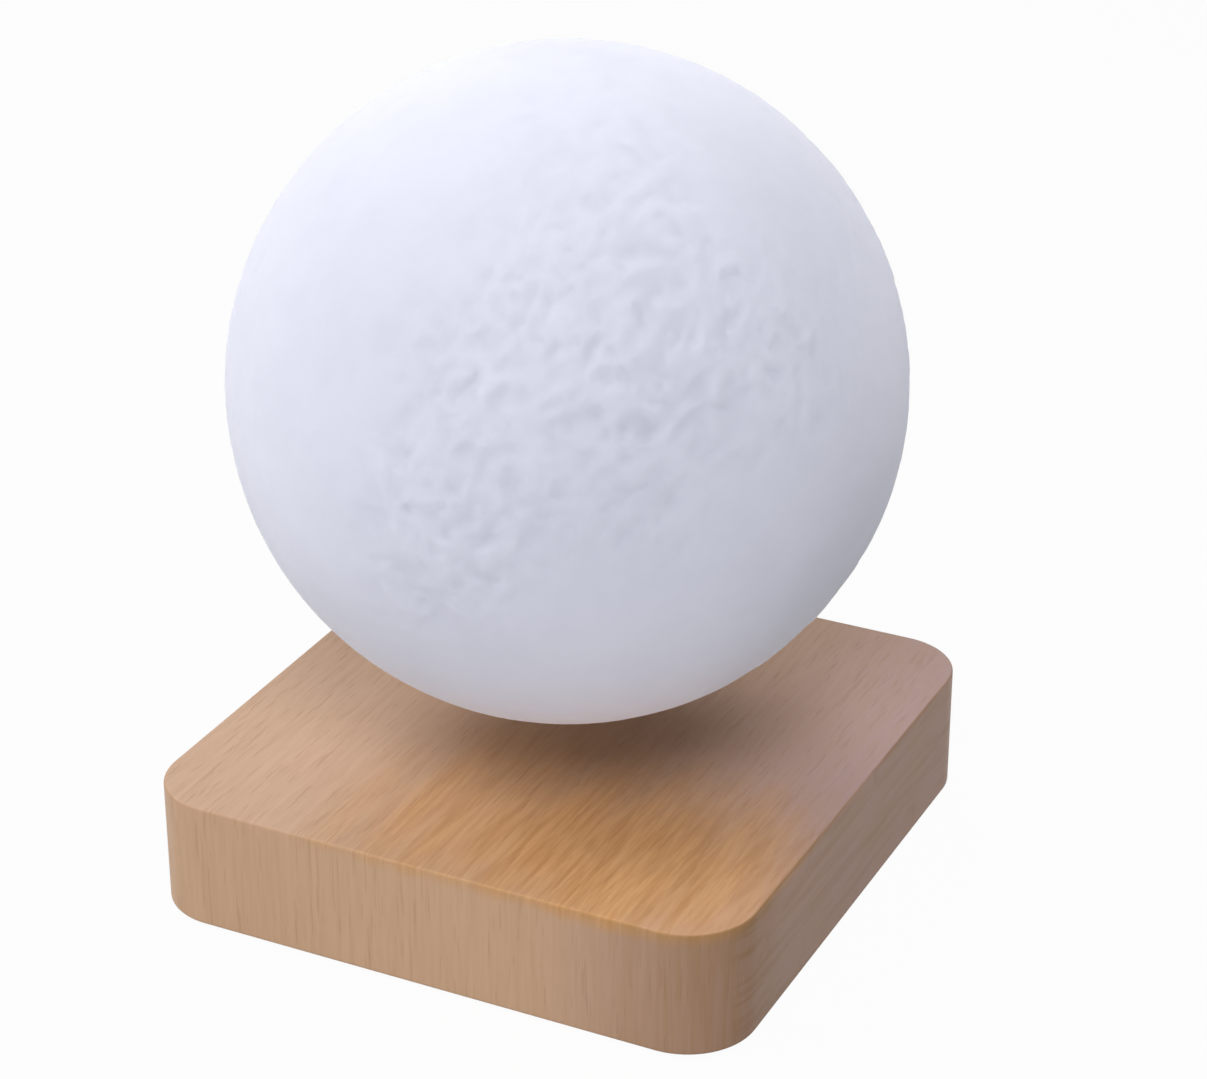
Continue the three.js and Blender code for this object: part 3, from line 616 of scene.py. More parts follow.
def forms_of(rows, name):
    """A mesh with one point for each form, holding its direction, its reach in radians and its strength."""
    mesh = bpy.data.meshes.new(name)
    mesh.from_pydata([direction(azimuth, elevation) for azimuth, elevation, _, _ in rows], [], [])
    columns = {"reach": [math.radians(row[2]) for row in rows], "share": [row[3] for row in rows]}
    for key, column in columns.items():
        mesh.attributes.new(key, "FLOAT", "POINT").data.foreach_set("value", column)
    return linked(name, mesh)


def attribute_value(tree, name):
    return tree.node("GeometryNodeInputNamedAttribute", {"data_type": "FLOAT"}, {"Name": name})


def add_forms(tree, ball, forms, curve, attribute):
    """Goes through the forms one by one and adds the height of each to an attribute of the ball."""
    start = tree.nodes.new("GeometryNodeRepeatInput")
    end = tree.nodes.new("GeometryNodeRepeatOutput")
    start.pair_with_output(end)
    size = tree.node("GeometryNodeAttributeDomainSize", {"component": "MESH"}, {"Geometry": forms})
    tree.links.new(size.socket, start.inputs["Iterations"])
    tree.links.new(ball.socket, start.inputs["Geometry"])
    step = Wire(tree, start.outputs["Iteration"])
    spot = tree.node("GeometryNodeInputPosition")

    def read(value, kind):
        values = {"Geometry": forms, "Value": value, "Index": step}
        return tree.node("GeometryNodeSampleIndex", {"data_type": kind}, values)

    wander = tree.noise(spot, form_warp_scale, detail=1).other("Color")
    wander = tree.vector("SCALE", tree.vector("SUBTRACT", wander, (noise_middle,) * 3), form_warp)
    outward = tree.vector("NORMALIZE", tree.vector("ADD", spot, wander))
    near = tree.vector("DOT_PRODUCT", outward, read(spot, "FLOAT_VECTOR"), "Value")
    along = tree.maths("ARCCOSINE", near) / read(attribute_value(tree, "reach"), "FLOAT")
    rise = tree.node("ShaderNodeFloatCurve", {"curve": curve}, {"Value": along})
    total = attribute_value(tree, attribute) + rise * read(attribute_value(tree, "share"), "FLOAT")
    values = {"Geometry": Wire(tree, start.outputs["Geometry"]), "Name": attribute, "Value": total}
    settings = {"data_type": "FLOAT", "domain": "POINT"}
    stored = tree.node("GeometryNodeStoreNamedAttribute", settings, values)
    tree.links.new(stored.socket, end.inputs["Geometry"])
    return Wire(tree, end.outputs["Geometry"])


def new_group(name, **kinds):
    """A Geometry Nodes group with inputs of each kind, by name; returns its tree, its wires and itself."""
    group = bpy.data.node_groups.new(name, "GeometryNodeTree")
    group.interface.new_socket(name="Geometry", in_out="OUTPUT", socket_type="NodeSocketGeometry")
    inputs = [(key, kind) for kind, keys in kinds.items() for key in keys] + [("Material", "Material")]
    for key, kind in inputs:
        group.interface.new_socket(name=key, in_out="INPUT", socket_type="NodeSocket" + kind)
    tree = Tree(group)
    entry = tree.nodes.new("NodeGroupInput")
    return tree, {key: Wire(tree, entry.outputs[key]) for key, _ in inputs}, group


def end_group(tree, geometry, material):
    """Ends a group in plain geometry that wears the material."""
    real = tree.node("GeometryNodeRealizeInstances", {}, {"Geometry": geometry})
    worn = tree.node("GeometryNodeSetMaterial", {}, {"Geometry": real, "Material": material})
    tree.node("NodeGroupOutput", {}, {"Geometry": worn})


def grown(name, group, inputs):
    """Runs a group with these inputs and keeps its result as a plain mesh."""
    piece = linked(name, bpy.data.meshes.new(name))
    step = piece.modifiers.new(group.name, "NODES")
    step.node_group = group
    for item in group.interface.items_tree:
        if item.in_out == "INPUT" and item.name in inputs:
            step[item.identifier] = inputs[item.name]
    return kept(piece)


def ball_group():
    """A ball of evenly spread squares, raised and sunk by pits, ring walls and rough ground."""
    tree, given, group = new_group(
        "moon_relief",
        Int=["Facets"],
        Float=["Radius", "Highest", "Depth", "Roughness"],
        Object=["Pits", "Rings", "Rough ground"],
    )
    count = given["Facets"] + 1
    sizes = {"Size": (2, 2, 2), "Vertices X": count, "Vertices Y": count, "Vertices Z": count}
    box = tree.node("GeometryNodeMeshCube", {}, sizes)
    spot = tree.node("GeometryNodeInputPosition")
    spread = tree.vector("TANGENT", tree.vector("MULTIPLY", spot, (eighth_turn,) * 3))
    outward = tree.vector("NORMALIZE", spread)
    ball = tree.node("GeometryNodeSetPosition", {}, {"Geometry": box, "Position": outward})
    for key, curve, attribute in (
        ("Pits", pit_curve, "relief"),
        ("Rings", ring_curve, "relief"),
        ("Rough ground", rough_curve, "rough"),
    ):
        forms = tree.node("GeometryNodeObjectInfo", {}, {"Object": given[key]}, "Geometry")
        ball = add_forms(tree, ball, forms, curve, attribute)
    lie = tree.vector("DOT_PRODUCT", spot, ridge_lie, "Value")
    laid = tree.vector("SUBTRACT", spot, tree.vector("SCALE", ridge_lie, lie * ridge_stretch))
    crease = tree.maths("ABSOLUTE", tree.noise(laid, crease_scale, detail=1) - noise_middle)
    ridge = 1 - crease.above(0, crease_width)
    coarse = tree.noise(laid, coarse_scale, detail=1, rough=0.55) - noise_middle
    fine = tree.noise(spot, fine_scale, detail=0) - noise_middle
    swell = tree.noise(spot, swell_scale, detail=1) - noise_middle
    texture = coarse * coarse_share + fine * fine_share + ridge * ridge_share - sunk_share
    rough = tree.maths("MINIMUM", attribute_value(tree, "rough"), 1)
    ground = texture * (rough * given["Roughness"] + ground_depth) + swell * swell_depth
    radius = given["Radius"] + attribute_value(tree, "relief") * given["Depth"] + ground
    moved = tree.vector("SCALE", spot, tree.maths("SMOOTH_MIN", radius, given["Highest"], relief_ease))
    shaped = tree.node("GeometryNodeSetPosition", {}, {"Geometry": ball, "Position": moved})
    end_group(tree, shaped, given["Material"])
    return group


moon_white = (0.79, 0.81, 0.985)
moon_dust = (0.75, 0.77, 0.945)
dust_scale = 60
dust_reach = (0.4, 0.68)
dust_share = 0.5
speck_scale = 400
moon_gloss_shares = (0.62, 0.12)
moon_grain_scale = 900
moon_grain = 0.02 * MM
glow_reach = 10 * MM


def moon_colour(tree):
    dust = tree.noise(tree.place(), dust_scale, detail=3, rough=0.6).above(*dust_reach)
    return tree.blend(dust * dust_share, moon_white, moon_dust)


def moon_rough(tree):
    least, more = moon_gloss_shares
    return least + tree.noise(tree.place(), speck_scale) * more


def moon_bump(tree):
    return tree.noise(tree.place(), moon_grain_scale, detail=3, rough=0.6), moon_grain


moon_glow = {
    "Diffuse Roughness": 1.0,
    "Subsurface Weight": 0.6,
    "Subsurface Radius": (1, 1, 1),
    "Subsurface Scale": glow_reach,
    "Specular IOR Level": 0.3,
}
moon_finish = finished("white_printed_plastic", moon_colour, moon_rough, moon_glow, moon_bump)
moon_forms = {
    "Pits": forms_of(pit_shares + scattered_pits(), "pits"),
    "Rings": forms_of(ring_shares, "rings"),
    "Rough ground": forms_of(rough_shares, "rough_ground"),
}
moon = grown("moon_ball_shell", ball_group(), {
    "Facets": ball_facets,
    "Radius": moon_radius,
    "Highest": moon_top_radius,
    "Depth": relief_depth,
    "Roughness": rough_depth,
    "Material": moon_finish,
    **moon_forms,
})
for holder in moon_forms.values():
    bpy.data.objects.remove(holder)
moon_foot = -moon_top_radius - overrun
hollow_line = [(0, moon_foot), (moon_opening, moon_foot), (moon_opening, -moon_shelf)]
first_turn = -math.asin(moon_shelf / moon_inner)
for step in range(hollow_steps):
    turn = first_turn + (quarter_turn - first_turn) * step / hollow_steps
    hollow_line.append((moon_inner * math.cos(turn), moon_inner * math.sin(turn)))
hollow_line.append((0, moon_inner))
hollow = lathe(hollow_line, "hollow", 96)
carved(moon, hollow, slab((moon_cut, moon_cut), overrun, moon_foot, -moon_cut, "foot_cut"))
shifted(moon, *moon_centre)
placed(moon, moon_finish, "moon_ball", "moon_plastic", "moon_shell")

# Bottom cover
# A black moulded plate let into the wood from below, with round ended cooling slots, countersunk holes and
# recesses for the feet. Four bosses on its inside carry the board.

cover_low, cover_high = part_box("bottom_cover")
cover_side = 122 * MM
cover_corner = 9 * MM
cover_top = 3.8 * MM
cover_edge = 0.4 * MM
foot_reach = 44 * MM
foot_hole_radius = 6.3 * MM
foot_hole_top = 2.6 * MM
boss_reach = 33.59 * MM
boss_radius = 3.2 * MM
vent_size = (26 * MM, 2 * MM)
vent_corner = 0.98 * MM
vent_rows = [-12, -6, 0, 6, 12]
vent_steps = 8
head_hole_line = [(0, 0.3), (3.05, 0.3), (3.05, 1.3), (1.6, 3.2), (1.6, 7.5), (0, 7.5)]
patch_reach = (0.35, 0.65)
grain_times = 7
black_grain = 0.03 * MM


def in_mm(rows):
    """Rows of millimetres as rows of metres."""
    return [tuple(length * MM for length in row) for row in rows]


def speckled(name, colour, worn, rough, spread, scale, depth, fixed=None):
    """A finish whose colour and gloss vary a little from place to place, over a fine grain."""

    def patches(tree):
        return tree.noise(tree.place(), scale, detail=3, rough=0.6).above(*patch_reach)

    return finished(
        name,
        lambda tree: tree.blend(patches(tree), colour, worn),
        lambda tree: rough + patches(tree) * spread,
        fixed or {},
        lambda tree: (tree.noise(tree.place(), scale * grain_times, rough=0.6), depth),
    )


def numbered(name, count):
    return [f"{name}_{i + 1}" for i in range(count)]


black_plastic = speckled(
    "black_moulded_plastic", (0.018, 0.018, 0.02), (0.023, 0.023, 0.025),
    rough=0.42, spread=0.08, scale=350, depth=black_grain,
)
cover_size = (cover_side, cover_side)
cover = slab(cover_size, cover_corner, cover_low.z, cover_top, "cover_plate", cover_edge)
boss_foot = cover_top - overrun
boss_line = [(0, boss_foot), (boss_radius, boss_foot), (boss_radius, cover_high.z), (0, cover_high.z)]
bosses = [lathe(rounded(boss_line, cover_edge), "boss", 32, at) for at in corners_at(boss_reach)]
combined(cover, "UNION", bosses)
head_places = corners_at(screw_reach) + corners_at(boss_reach)
holes = [lathe(in_mm(head_hole_line), "hole", 32, at) for at in head_places]
holes += [drill(foot_hole_radius, below, foot_hole_top, "seat", at) for at in corners_at(foot_reach)]
vent_top = cover_top + overrun
for y in vent_rows:
    holes.append(slab(vent_size, vent_corner, below, vent_top, "vent", 0, (0, y * MM), vent_steps))
carved(cover, *holes)
placed(cover, black_plastic, "base", "black_plastic", "bottom_cover")

# Rubber feet
# Four round feet of black rubber, stuck in the recesses of the cover, each with a raised ring to stand on.

foot_line = [(0, 0.35), (3.4, 0.35), (3.7, 0), (5.4, 0), (6, 0.7), (6, 2.3), (0, 2.3)]
foot_round = 0.25 * MM
rubber_grain = 0.03 * MM
ring_seed = 7


def turned(line, ease, name, segments, centre=(0, 0), **how):
    """A piece turned from a line in millimetres, with its edges rounded."""
    return lathe(rounded(in_mm(line), ease, **how), name, segments, centre)


def ring_group():
    """Copies of a piece, evenly spread on a circle, each turned outward and then a little at random."""
    tree, given, group = new_group(
        "ring_of_copies",
        Object=["Piece"],
        Int=["Count", "Seed"],
        Float=["Radius", "First turn", "Random turn"],
    )
    one = tree.node("GeometryNodeObjectInfo", {}, {"Object": given["Piece"]}, "Geometry")
    circle = {"Vertices": given["Count"], "Radius": given["Radius"]}
    circle = tree.node("GeometryNodeMeshCircle", {}, circle)
    step = tree.node("GeometryNodeInputIndex")
    random = {"Max": given["Random turn"], "ID": step, "Seed": given["Seed"]}
    spin = tree.node("FunctionNodeRandomValue", {"data_type": "FLOAT"}, output=1)
    for key, wire in random.items():
        socket = [entry for entry in spin.socket.node.inputs if entry.name == key and entry.enabled][0]
        tree.links.new(wire.socket, socket)
    turn = step * (2 * math.pi) / given["Count"] + spin
    facing = tree.node("ShaderNodeCombineXYZ", {}, {"Z": turn})
    values = {"Points": circle, "Instance": one, "Rotation": facing}
    copies = tree.node("GeometryNodeInstanceOnPoints", {}, values)
    first = tree.node("ShaderNodeCombineXYZ", {}, {"Z": given["First turn"]})
    swung = tree.node("GeometryNodeTransform", {}, {"Geometry": copies, "Rotation": first})
    end_group(tree, swung, given["Material"])
    return group


ring_of_copies = ring_group()


def repeated(name, piece, material, count, radius, first=45, random=0):
    """The copies of a piece on a circle, as one mesh. The angles first and random are in degrees."""
    made = grown(name, ring_of_copies, {
        "Piece": piece,
        "Count": count,
        "Radius": radius,
        "First turn": math.radians(first),
        "Random turn": math.radians(random),
        "Seed": ring_seed,
        "Material": material,
    })
    bpy.data.objects.remove(piece)
    return made


diagonal = math.sqrt(2)
rubber = speckled(
    "black_rubber", (0.02, 0.02, 0.02), (0.034, 0.033, 0.032),
    rough=0.7, spread=0.15, scale=250, depth=rubber_grain,
)
foot = turned(foot_line, foot_round, "foot", 40)
feet = repeated("foot_pads", foot, rubber, 4, foot_reach * diagonal)
placed(feet, rubber, "base", "foot_rubber", *numbered("rubber_foot", 4))

# Countersunk screws
# Blackened steel screws with a cross drive: four short ones hold the cover to the wood, and four long ones
# go through cover and board into the legs of the magnet tray. Turned, with a rolled thread.

head_line = [(0, 0), (2.6, 0), (2.75, 0.15), (1.3, 1.6), (1.12, 1.8)]
thread_pitch = 0.5
thread_top = 1.3
thread_root = 1.02
drive_size = (3.4 * MM, 0.8 * MM)
drive_depth = 0.9 * MM
drive_corner = 0.12 * MM
screw_foot = 1.3 * MM
short_length = 9
long_length = 13.1
tip_share = 0.6
drive_steps = 3
screw_turn = 80
steel_grain = 0.01 * MM
bare_metal = {"Metallic": 1.0}


def threaded(line, top, root, end):
    """Goes on along a screw's line, up and down its thread, until it has passed the end."""
    line = list(line)
    while line[-1][1] < end:
        height = line[-1][1]
        line += [(top, height + thread_pitch / 2), (root, height + thread_pitch)]
    return line


def crossed(screw, size, corner, low, high):
    """Cuts a cross into the head of a screw, between two levels."""
    along = slab(size, corner, low, high, "along", steps=drive_steps)
    across = slab(size[::-1], corner, low, high, "across", steps=drive_steps)
    return carved(screw, along, across)


def countersunk_screw(length):
    line = threaded(head_line, thread_top, thread_root, length - 2 * thread_pitch)
    line += [(thread_root * tip_share, length), (0, length)]
    screw = lathe(in_mm(line), "screw", 24)
    crossed(screw, drive_size, drive_corner, -overrun, drive_depth)
    return shifted(screw, 0, 0, screw_foot)


steel = speckled(
    "blackened_steel", (0.13, 0.13, 0.14), (0.2, 0.2, 0.21),
    rough=0.3, spread=0.15, scale=600, depth=steel_grain, fixed=bare_metal,
)
for name, length, reach, node in (
    ("short_screws", short_length, screw_reach, "cover_screw"),
    ("long_screws", long_length, boss_reach, "stack_screw"),
):
    screws = repeated(name, countersunk_screw(length), steel, 4, reach * diagonal, random=screw_turn)
    placed(screws, steel, "base", "screw_steel", *numbered(node, 4))

# Control board
# A green circuit board on the bosses of the cover, a disc with a tongue under the socket, with tinned
# tracks under the lacquer. The tracks run in two directions that change from patch to patch.

board_low, board_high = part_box("control_board")
board_radius = 54.5 * MM
tongue_size = (10.8 * MM, 60.4 * MM)
tongue_corner = 1 * MM
board_edge = 0.15 * MM
tongue_steps = 6
board_hole_radius = 1.6 * MM
board_green = (0.012, 0.1, 0.045)
track_green = (0.03, 0.2, 0.1)
track_pitch = 520
track_height = 0.03 * MM
track_reach = (0.5, 0.56)
bare_reach = (0.35, 0.36)
patch_scale = 0.12
side_reach = (0.49, 0.51)
lacquer = {"Coat Weight": 0.5, "Coat Roughness": 0.2}
lacquer_gloss_shares = (0.3, 0.12)
lacquer_scale = 300


def tracks(tree):
    """1 on the tracks, 0 between them."""
    spot = tree.place((track_pitch,) * 3)
    cells = {"Vector": spot, "Scale": patch_scale}
    patch = tree.node("ShaderNodeTexVoronoi", {"distance": "MANHATTAN"}, cells, "Color")
    pick = tree.node("ShaderNodeSeparateColor", {}, {"Color": patch})
    split = tree.node("ShaderNodeSeparateXYZ", {}, {"Vector": spot})
    side = pick.above(*side_reach)
    across = split * side + split.other("Y") * (1 - side)
    saw = tree.maths("PINGPONG", across, 1)
    return saw.above(*track_reach) * pick.other("Green").above(*bare_reach)


def lacquered_board(name, ground, track):
    least, more = lacquer_gloss_shares
    return finished(
        name,
        lambda tree: tree.blend(tracks(tree), ground, track),
        lambda tree: least + tree.noise(tree.place(), lacquer_scale) * more,
        lacquer,
        lambda tree: (tracks(tree), track_height),
    )


green_board = lacquered_board("green_circuit_board", board_green, track_green)
board_levels = (board_low.z, board_high.z)
board_line = [(0, board_low.z), *[(board_radius, z) for z in board_levels], (0, board_high.z)]
board = lathe(rounded(board_line, board_edge), "board_disc", 128)
tongue_middle = (0, tongue_size[1] / 2)
tongue = slab(tongue_size, tongue_corner, *board_levels, "tongue", board_edge, tongue_middle, tongue_steps)
combined(board, "UNION", [tongue])
board_hole = (board_hole_radius, below, pilot_ceiling)
carved(board, *[drill(*board_hole, "hole", at) for at in corners_at(boss_reach)])
placed(board, green_board, "base", "green_circuit", "control_board")

# Magnet tray
# A black moulded tray over the board, with two rims that hold the ring magnet, four legs for the long
# screws, holes for the pegs of the bobbins and a post in the middle for the field sensors.

tray_line = [
    (0, 10.8), (44.9, 10.8), (44.9, 23), (43.3, 23), (43.3, 12.4), (25.7, 12.4), (25.7, 23),
    (24.1, 23), (24.1, 12.4), (0, 12.4),
]
tray_round = 0.25 * MM
leg_line = [(0, 8.7), (3.2, 8.7), (3.2, 16.3), (0, 16.3)]
post_size = (5.03 * MM, 5.03 * MM)
post_levels = (11 * MM, 20.7 * MM)
post_corner = 0.4 * MM
leg_hole = (1.6 * MM, 7.4 * MM, 14.7 * MM)
coil_reach = 9.88 * MM
peg_hole = (3.07 * MM, 9.8 * MM, 13.4 * MM)

tray = turned(tray_line, tray_round, "moulded_tray", 96)
legs = [turned(leg_line, tray_round, "leg", 32, at) for at in corners_at(boss_reach)]
combined(tray, "UNION", [*legs, slab(post_size, post_corner, *post_levels, "post", tray_round, steps=6)])
holes = [drill(*leg_hole, "hole", at) for at in corners_at(boss_reach)]
holes += [drill(*peg_hole, "hole", at) for at in corners_at(coil_reach)]
carved(tray, *holes)
placed(tray, black_plastic, "base", "black_plastic", "magnet_tray")

# Ring magnet
# A sintered ferrite ring, ground on its flat faces, that lies between the rims of the tray.

ring_line = [(26.0, 12.7), (43, 12.7), (43, 22.7), (26.0, 22.7)]
ring_round = 0.6 * MM
ferrite_grain = 0.05 * MM
ferrite_fixed = {"Specular IOR Level": 0.4}
ferrite = speckled(
    "ground_ferrite", (0.03, 0.03, 0.033), (0.052, 0.05, 0.05),
    rough=0.5, spread=0.18, scale=220, depth=ferrite_grain, fixed=ferrite_fixed,
)
magnet_ring = turned(ring_line, ring_round, "ferrite_ring", 128, closed=True)
placed(magnet_ring, ferrite, "base", "ferrite", "ring_magnet")

# Electromagnets
# Four white bobbins pressed into the tray, each wound with enamelled copper wire in even layers.

bobbin_line = [
    (2.03, 10.8), (2.77, 10.8), (2.77, 12.7), (9.24, 12.7), (9.24, 13.6),
    (3.6, 13.6), (3.6, 21.8), (9.24, 21.8), (9.24, 22.7), (2.03, 22.7),
]
bobbin_round = 0.2 * MM
copper_fixed = {"Metallic": 1.0, "Coat Weight": 0.6, "Coat Roughness": 0.12}
white_grain = 0.02 * MM
copper_grain = 0.01 * MM
bulge_share = 0.2
shoulder_share = 0.3

# Lower and upper end, inner and outer radius, and wire, in millimetres
winding_size = (13.9, 21.5, 3.9, 8.54, 0.42)


def wound(low, high, inner, outer, wire):
    """The closed line of a winding: round wires side by side on its outside, and flat inside."""
    line = [(inner, low + wire / 2), (inner, high - wire / 2)]
    rows = round((high - low) / wire)
    columns = max(round((outer - inner) / wire), 1)
    bulge = wire * bulge_share
    shoulder = wire * shoulder_share
    across = [inner + (outer - inner) * (i + 0.5) / columns for i in range(columns)]
    down = [high - (high - low) * (i + 0.5) / rows for i in range(rows)]
    for x in across:
        line += [(x - shoulder, high - bulge), (x, high), (x + shoulder, high - bulge)]
    for z in down:
        line += [(outer - bulge, z + shoulder), (outer, z), (outer - bulge, z - shoulder)]
    for x in reversed(across):
        line += [(x + shoulder, low + bulge), (x, low), (x - shoulder, low + bulge)]
    return line


white_plastic = speckled(
    "white_moulded_plastic", (0.78, 0.77, 0.76), (0.7, 0.69, 0.68),
    rough=0.4, spread=0.12, scale=200, depth=white_grain,
)
copper = speckled(
    "enamelled_copper", (0.62, 0.24, 0.1), (0.72, 0.33, 0.16),
    rough=0.22, spread=0.12, scale=300, depth=copper_grain, fixed=copper_fixed,
)
bobbin = turned(bobbin_line, bobbin_round, "bobbin", 40, closed=True)
bobbins = repeated("white_bobbins", bobbin, white_plastic, 4, coil_reach * diagonal)
placed(bobbins, white_plastic, "base", "coil_plastic", *numbered("coil_bobbin", 4))
winding = lathe(in_mm(wound(*winding_size)), "winding", 40)
windings = repeated("copper_windings", winding, copper, 4, coil_reach * diagonal)
placed(windings, copper, "base", "copper_wire", *numbered("coil_winding", 4))

# Power transmitter
# A flat spiral of thick copper wire on a green plate, just under the skin of wood at the top.

spiral_turns = 15.0
spiral_radii = (27.5 * MM, 41.5 * MM)
spiral_height = 25.1 * MM
spiral_wire = 0.46 * MM
spiral_steps = 56
spiral_sides = 6
spiral_sharp = 70
plate_line = [(20.1, 23.3), (44.9, 23.3), (44.9, 24.3), (20.1, 24.3)]


def spiral_group():
    """A wire wound in a flat spiral, closed at both ends."""
    tree, given, group = new_group(
        "flat_spiral",
        Float=["Turns", "Inner radius", "Outer radius", "Height", "Wire radius"],
        Int=["Steps", "Sides"],
    )
    values = {"Resolution": given["Steps"], "Rotations": given["Turns"], "Height": 0}
    values.update({"Start Radius": given["Inner radius"], "End Radius": given["Outer radius"]})
    path = tree.node("GeometryNodeCurveSpiral", {}, values)
    section = {"Resolution": given["Sides"], "Radius": given["Wire radius"]}
    section = tree.node("GeometryNodeCurvePrimitiveCircle", {}, section)
    values = {"Curve": path, "Profile Curve": section, "Fill Caps": True}
    wire = tree.node("GeometryNodeCurveToMesh", {}, values)
    rise = tree.node("ShaderNodeCombineXYZ", {}, {"Z": given["Height"]})
    raised = tree.node("GeometryNodeTransform", {}, {"Geometry": wire, "Translation": rise})
    end_group(tree, raised, given["Material"])
    return group


spiral = shaded(grown("transmitter_spiral", spiral_group(), {
    "Turns": spiral_turns,
    "Inner radius": spiral_radii[0],
    "Outer radius": spiral_radii[1],
    "Height": spiral_height,
    "Wire radius": spiral_wire,
    "Steps": spiral_steps,
    "Sides": spiral_sides,
    "Material": copper,
}), spiral_sharp)
placed(spiral, copper, "base", "copper_wire", "power_coil")
plate = turned(plate_line, board_edge, "transmitter_plate", 96, closed=True)
placed(plate, green_board, "base", "green_circuit", "coil_plate")

# Power socket
# A black barrel socket on the tongue of the board, behind the round recess in the back wall, and its pin.

jack_low, jack_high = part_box("power_jack")
jack_size = (jack_high.x - jack_low.x, jack_high.y - jack_low.y)
jack_middle = (0, (jack_low.y + jack_high.y) / 2)
jack_corner = 0.5 * MM
jack_edge = 0.3 * MM
jack_bore = [(0, 51.4), (3.15, 51.4), (3.15, 60.1), (3.45, 60.5), (3.45, 61.4), (0, 61.4)]
pin_seat = [(0, 49.1), (1.3, 49.1), (1.3, 52), (0, 52)]
pin_line = [(0, 49.4), (1, 49.4), (1, 59.1), (0.8, 59.5), (0.45, 59.6), (0, 59.6)]
nickel_grain = 0.005 * MM

jack_levels = (jack_low.z, jack_high.z)
jack = slab(jack_size, jack_corner, *jack_levels, "barrel_socket", jack_edge, jack_middle, steps=4)
carved(jack, *[lying(in_mm(line), "bore", 48) for line in (jack_bore, pin_seat)])
placed(jack, black_plastic, "base", "black_plastic", "power_jack")
nickel = speckled(
    "nickel_plating", (0.6, 0.58, 0.54), (0.66, 0.64, 0.6),
    rough=0.16, spread=0.1, scale=150, depth=nickel_grain, fixed=bare_metal,
)
placed(lying(in_mm(pin_line), "socket_pin", 32), nickel, "base", "nickel", "jack_pin")

# Parts on the control board
# A square control chip and two drivers with bent leads, a dark inductor with a round core, and two
# electrolytic capacitors with a crimped waist and a cross stamped in the top.

part_bottom = 8.7 * MM
lead_size = (1.0 * MM, 0.42 * MM)
lead_height = 0.75 * MM
lead_levels = (part_bottom, part_bottom + lead_height)
lead_edge = 0.06 * MM
lead_pitch = 0.8 * MM
chip_middle = (0, -20 * MM)
chip_body = (5.4 * MM, 5.4 * MM)
chip_levels = (8.85 * MM, 10.1 * MM)
driver_body = (3.6 * MM, 5.9 * MM)
driver_reach = 20 * MM
driver_levels = (8.85 * MM, 10.3 * MM)
chip_edge = 0.15 * MM
chip_lead_reach = 3.0 * MM
driver_lead_reach = 2.0 * MM
chip_lead_count = 6
driver_lead_count = 6
inductor_middle = (-50.45 * MM, 0)
inductor_size = (7 * MM, 7 * MM)
inductor_corner = 1.4 * MM
inductor_levels = (8.7 * MM, 12.4 * MM)
inductor_core = [(0, 9), (3.1, 9), (3.1, 13.1), (2.7, 13.2), (2.3, 12.9), (0, 12.9)]
can_line = [
    (0, 0), (3.5, 0), (4, 0.5), (4, 1.1), (3.6, 1.6), (4, 2.1), (4, 11.1), (3.75, 11.5), (3.3, 11.5),
    (3.1, 11.3), (0, 11.3),
]
can_round = 0.2 * MM
can_cross = (4.4 * MM, 0.35 * MM)
can_cross_levels = (11.1 * MM, 12 * MM)
can_corner = 0.1 * MM
can_places = [(-21.89 * MM, 45.45 * MM), (21.89 * MM, 45.45 * MM)]
chip_grain = 0.01 * MM
can_grain = 0.008 * MM


def leads(middle, reach, count, turn):
    """A row of leads on one side of a chip."""
    made = []
    for i in range(count):
        middle_of_lead = (reach, (i - (count - 1) / 2) * lead_pitch)
        lead = slab(lead_size, lead_edge, *lead_levels, "lead", centre=middle_of_lead, steps=2)
        lead.data.transform(Matrix.Rotation(math.radians(turn), 4, "Z"))
        made.append(shifted(lead, *middle, 0))
    return made


def merged(name, parts):
    """Several closed parts in one mesh."""
    whole = bmesh.new()
    for part in parts:
        whole.from_mesh(part.data)
        bpy.data.objects.remove(part)
    return settled(whole, name)


chip_black = speckled(
    "black_epoxy", (0.02, 0.02, 0.022), (0.03, 0.03, 0.032),
    rough=0.36, spread=0.1, scale=500, depth=chip_grain,
)
chips = [slab(chip_body, chip_edge, *chip_levels, "chip", chip_edge, chip_middle, steps=3)]
tinned = []
for turn in (0, 90, 180, 270):
    tinned += leads(chip_middle, chip_lead_reach, chip_lead_count, turn)
for side in (-1, 1):
    spot = (side * driver_reach, 0)
    chips.append(slab(driver_body, chip_edge, *driver_levels, "chip", chip_edge, spot, steps=3))
    for turn in (0, 180):
        tinned += leads(spot, driver_lead_reach, driver_lead_count, turn)
choke = slab(inductor_size, inductor_corner, *inductor_levels, "choke", can_round, inductor_middle, steps=6)
chips.append(combined(choke, "UNION", [lathe(in_mm(inductor_core), "core", 40, inductor_middle)]))
chip_nodes = ("control_chip", *numbered("coil_driver", 2), "power_inductor")
placed(merged("board_chips", chips), chip_black, "base", "chip_black", *chip_nodes)
tin = speckled(
    "tinned_copper", (0.55, 0.55, 0.55), (0.62, 0.62, 0.61),
    rough=0.28, spread=0.12, scale=400, depth=nickel_grain, fixed=bare_metal,
)
placed(merged("chip_leads", tinned), tin, "base", "nickel")


def can_capacitor(size, centre, bottom):
    """A crimped can, size times as large as the ones on the control board."""
    can = turned(can_line, can_round, "can", 40)
    crossed(can, can_cross, can_corner, *can_cross_levels)
    can.data.transform(Matrix.Diagonal((*size, 1)))
    return shifted(can, *centre, bottom)


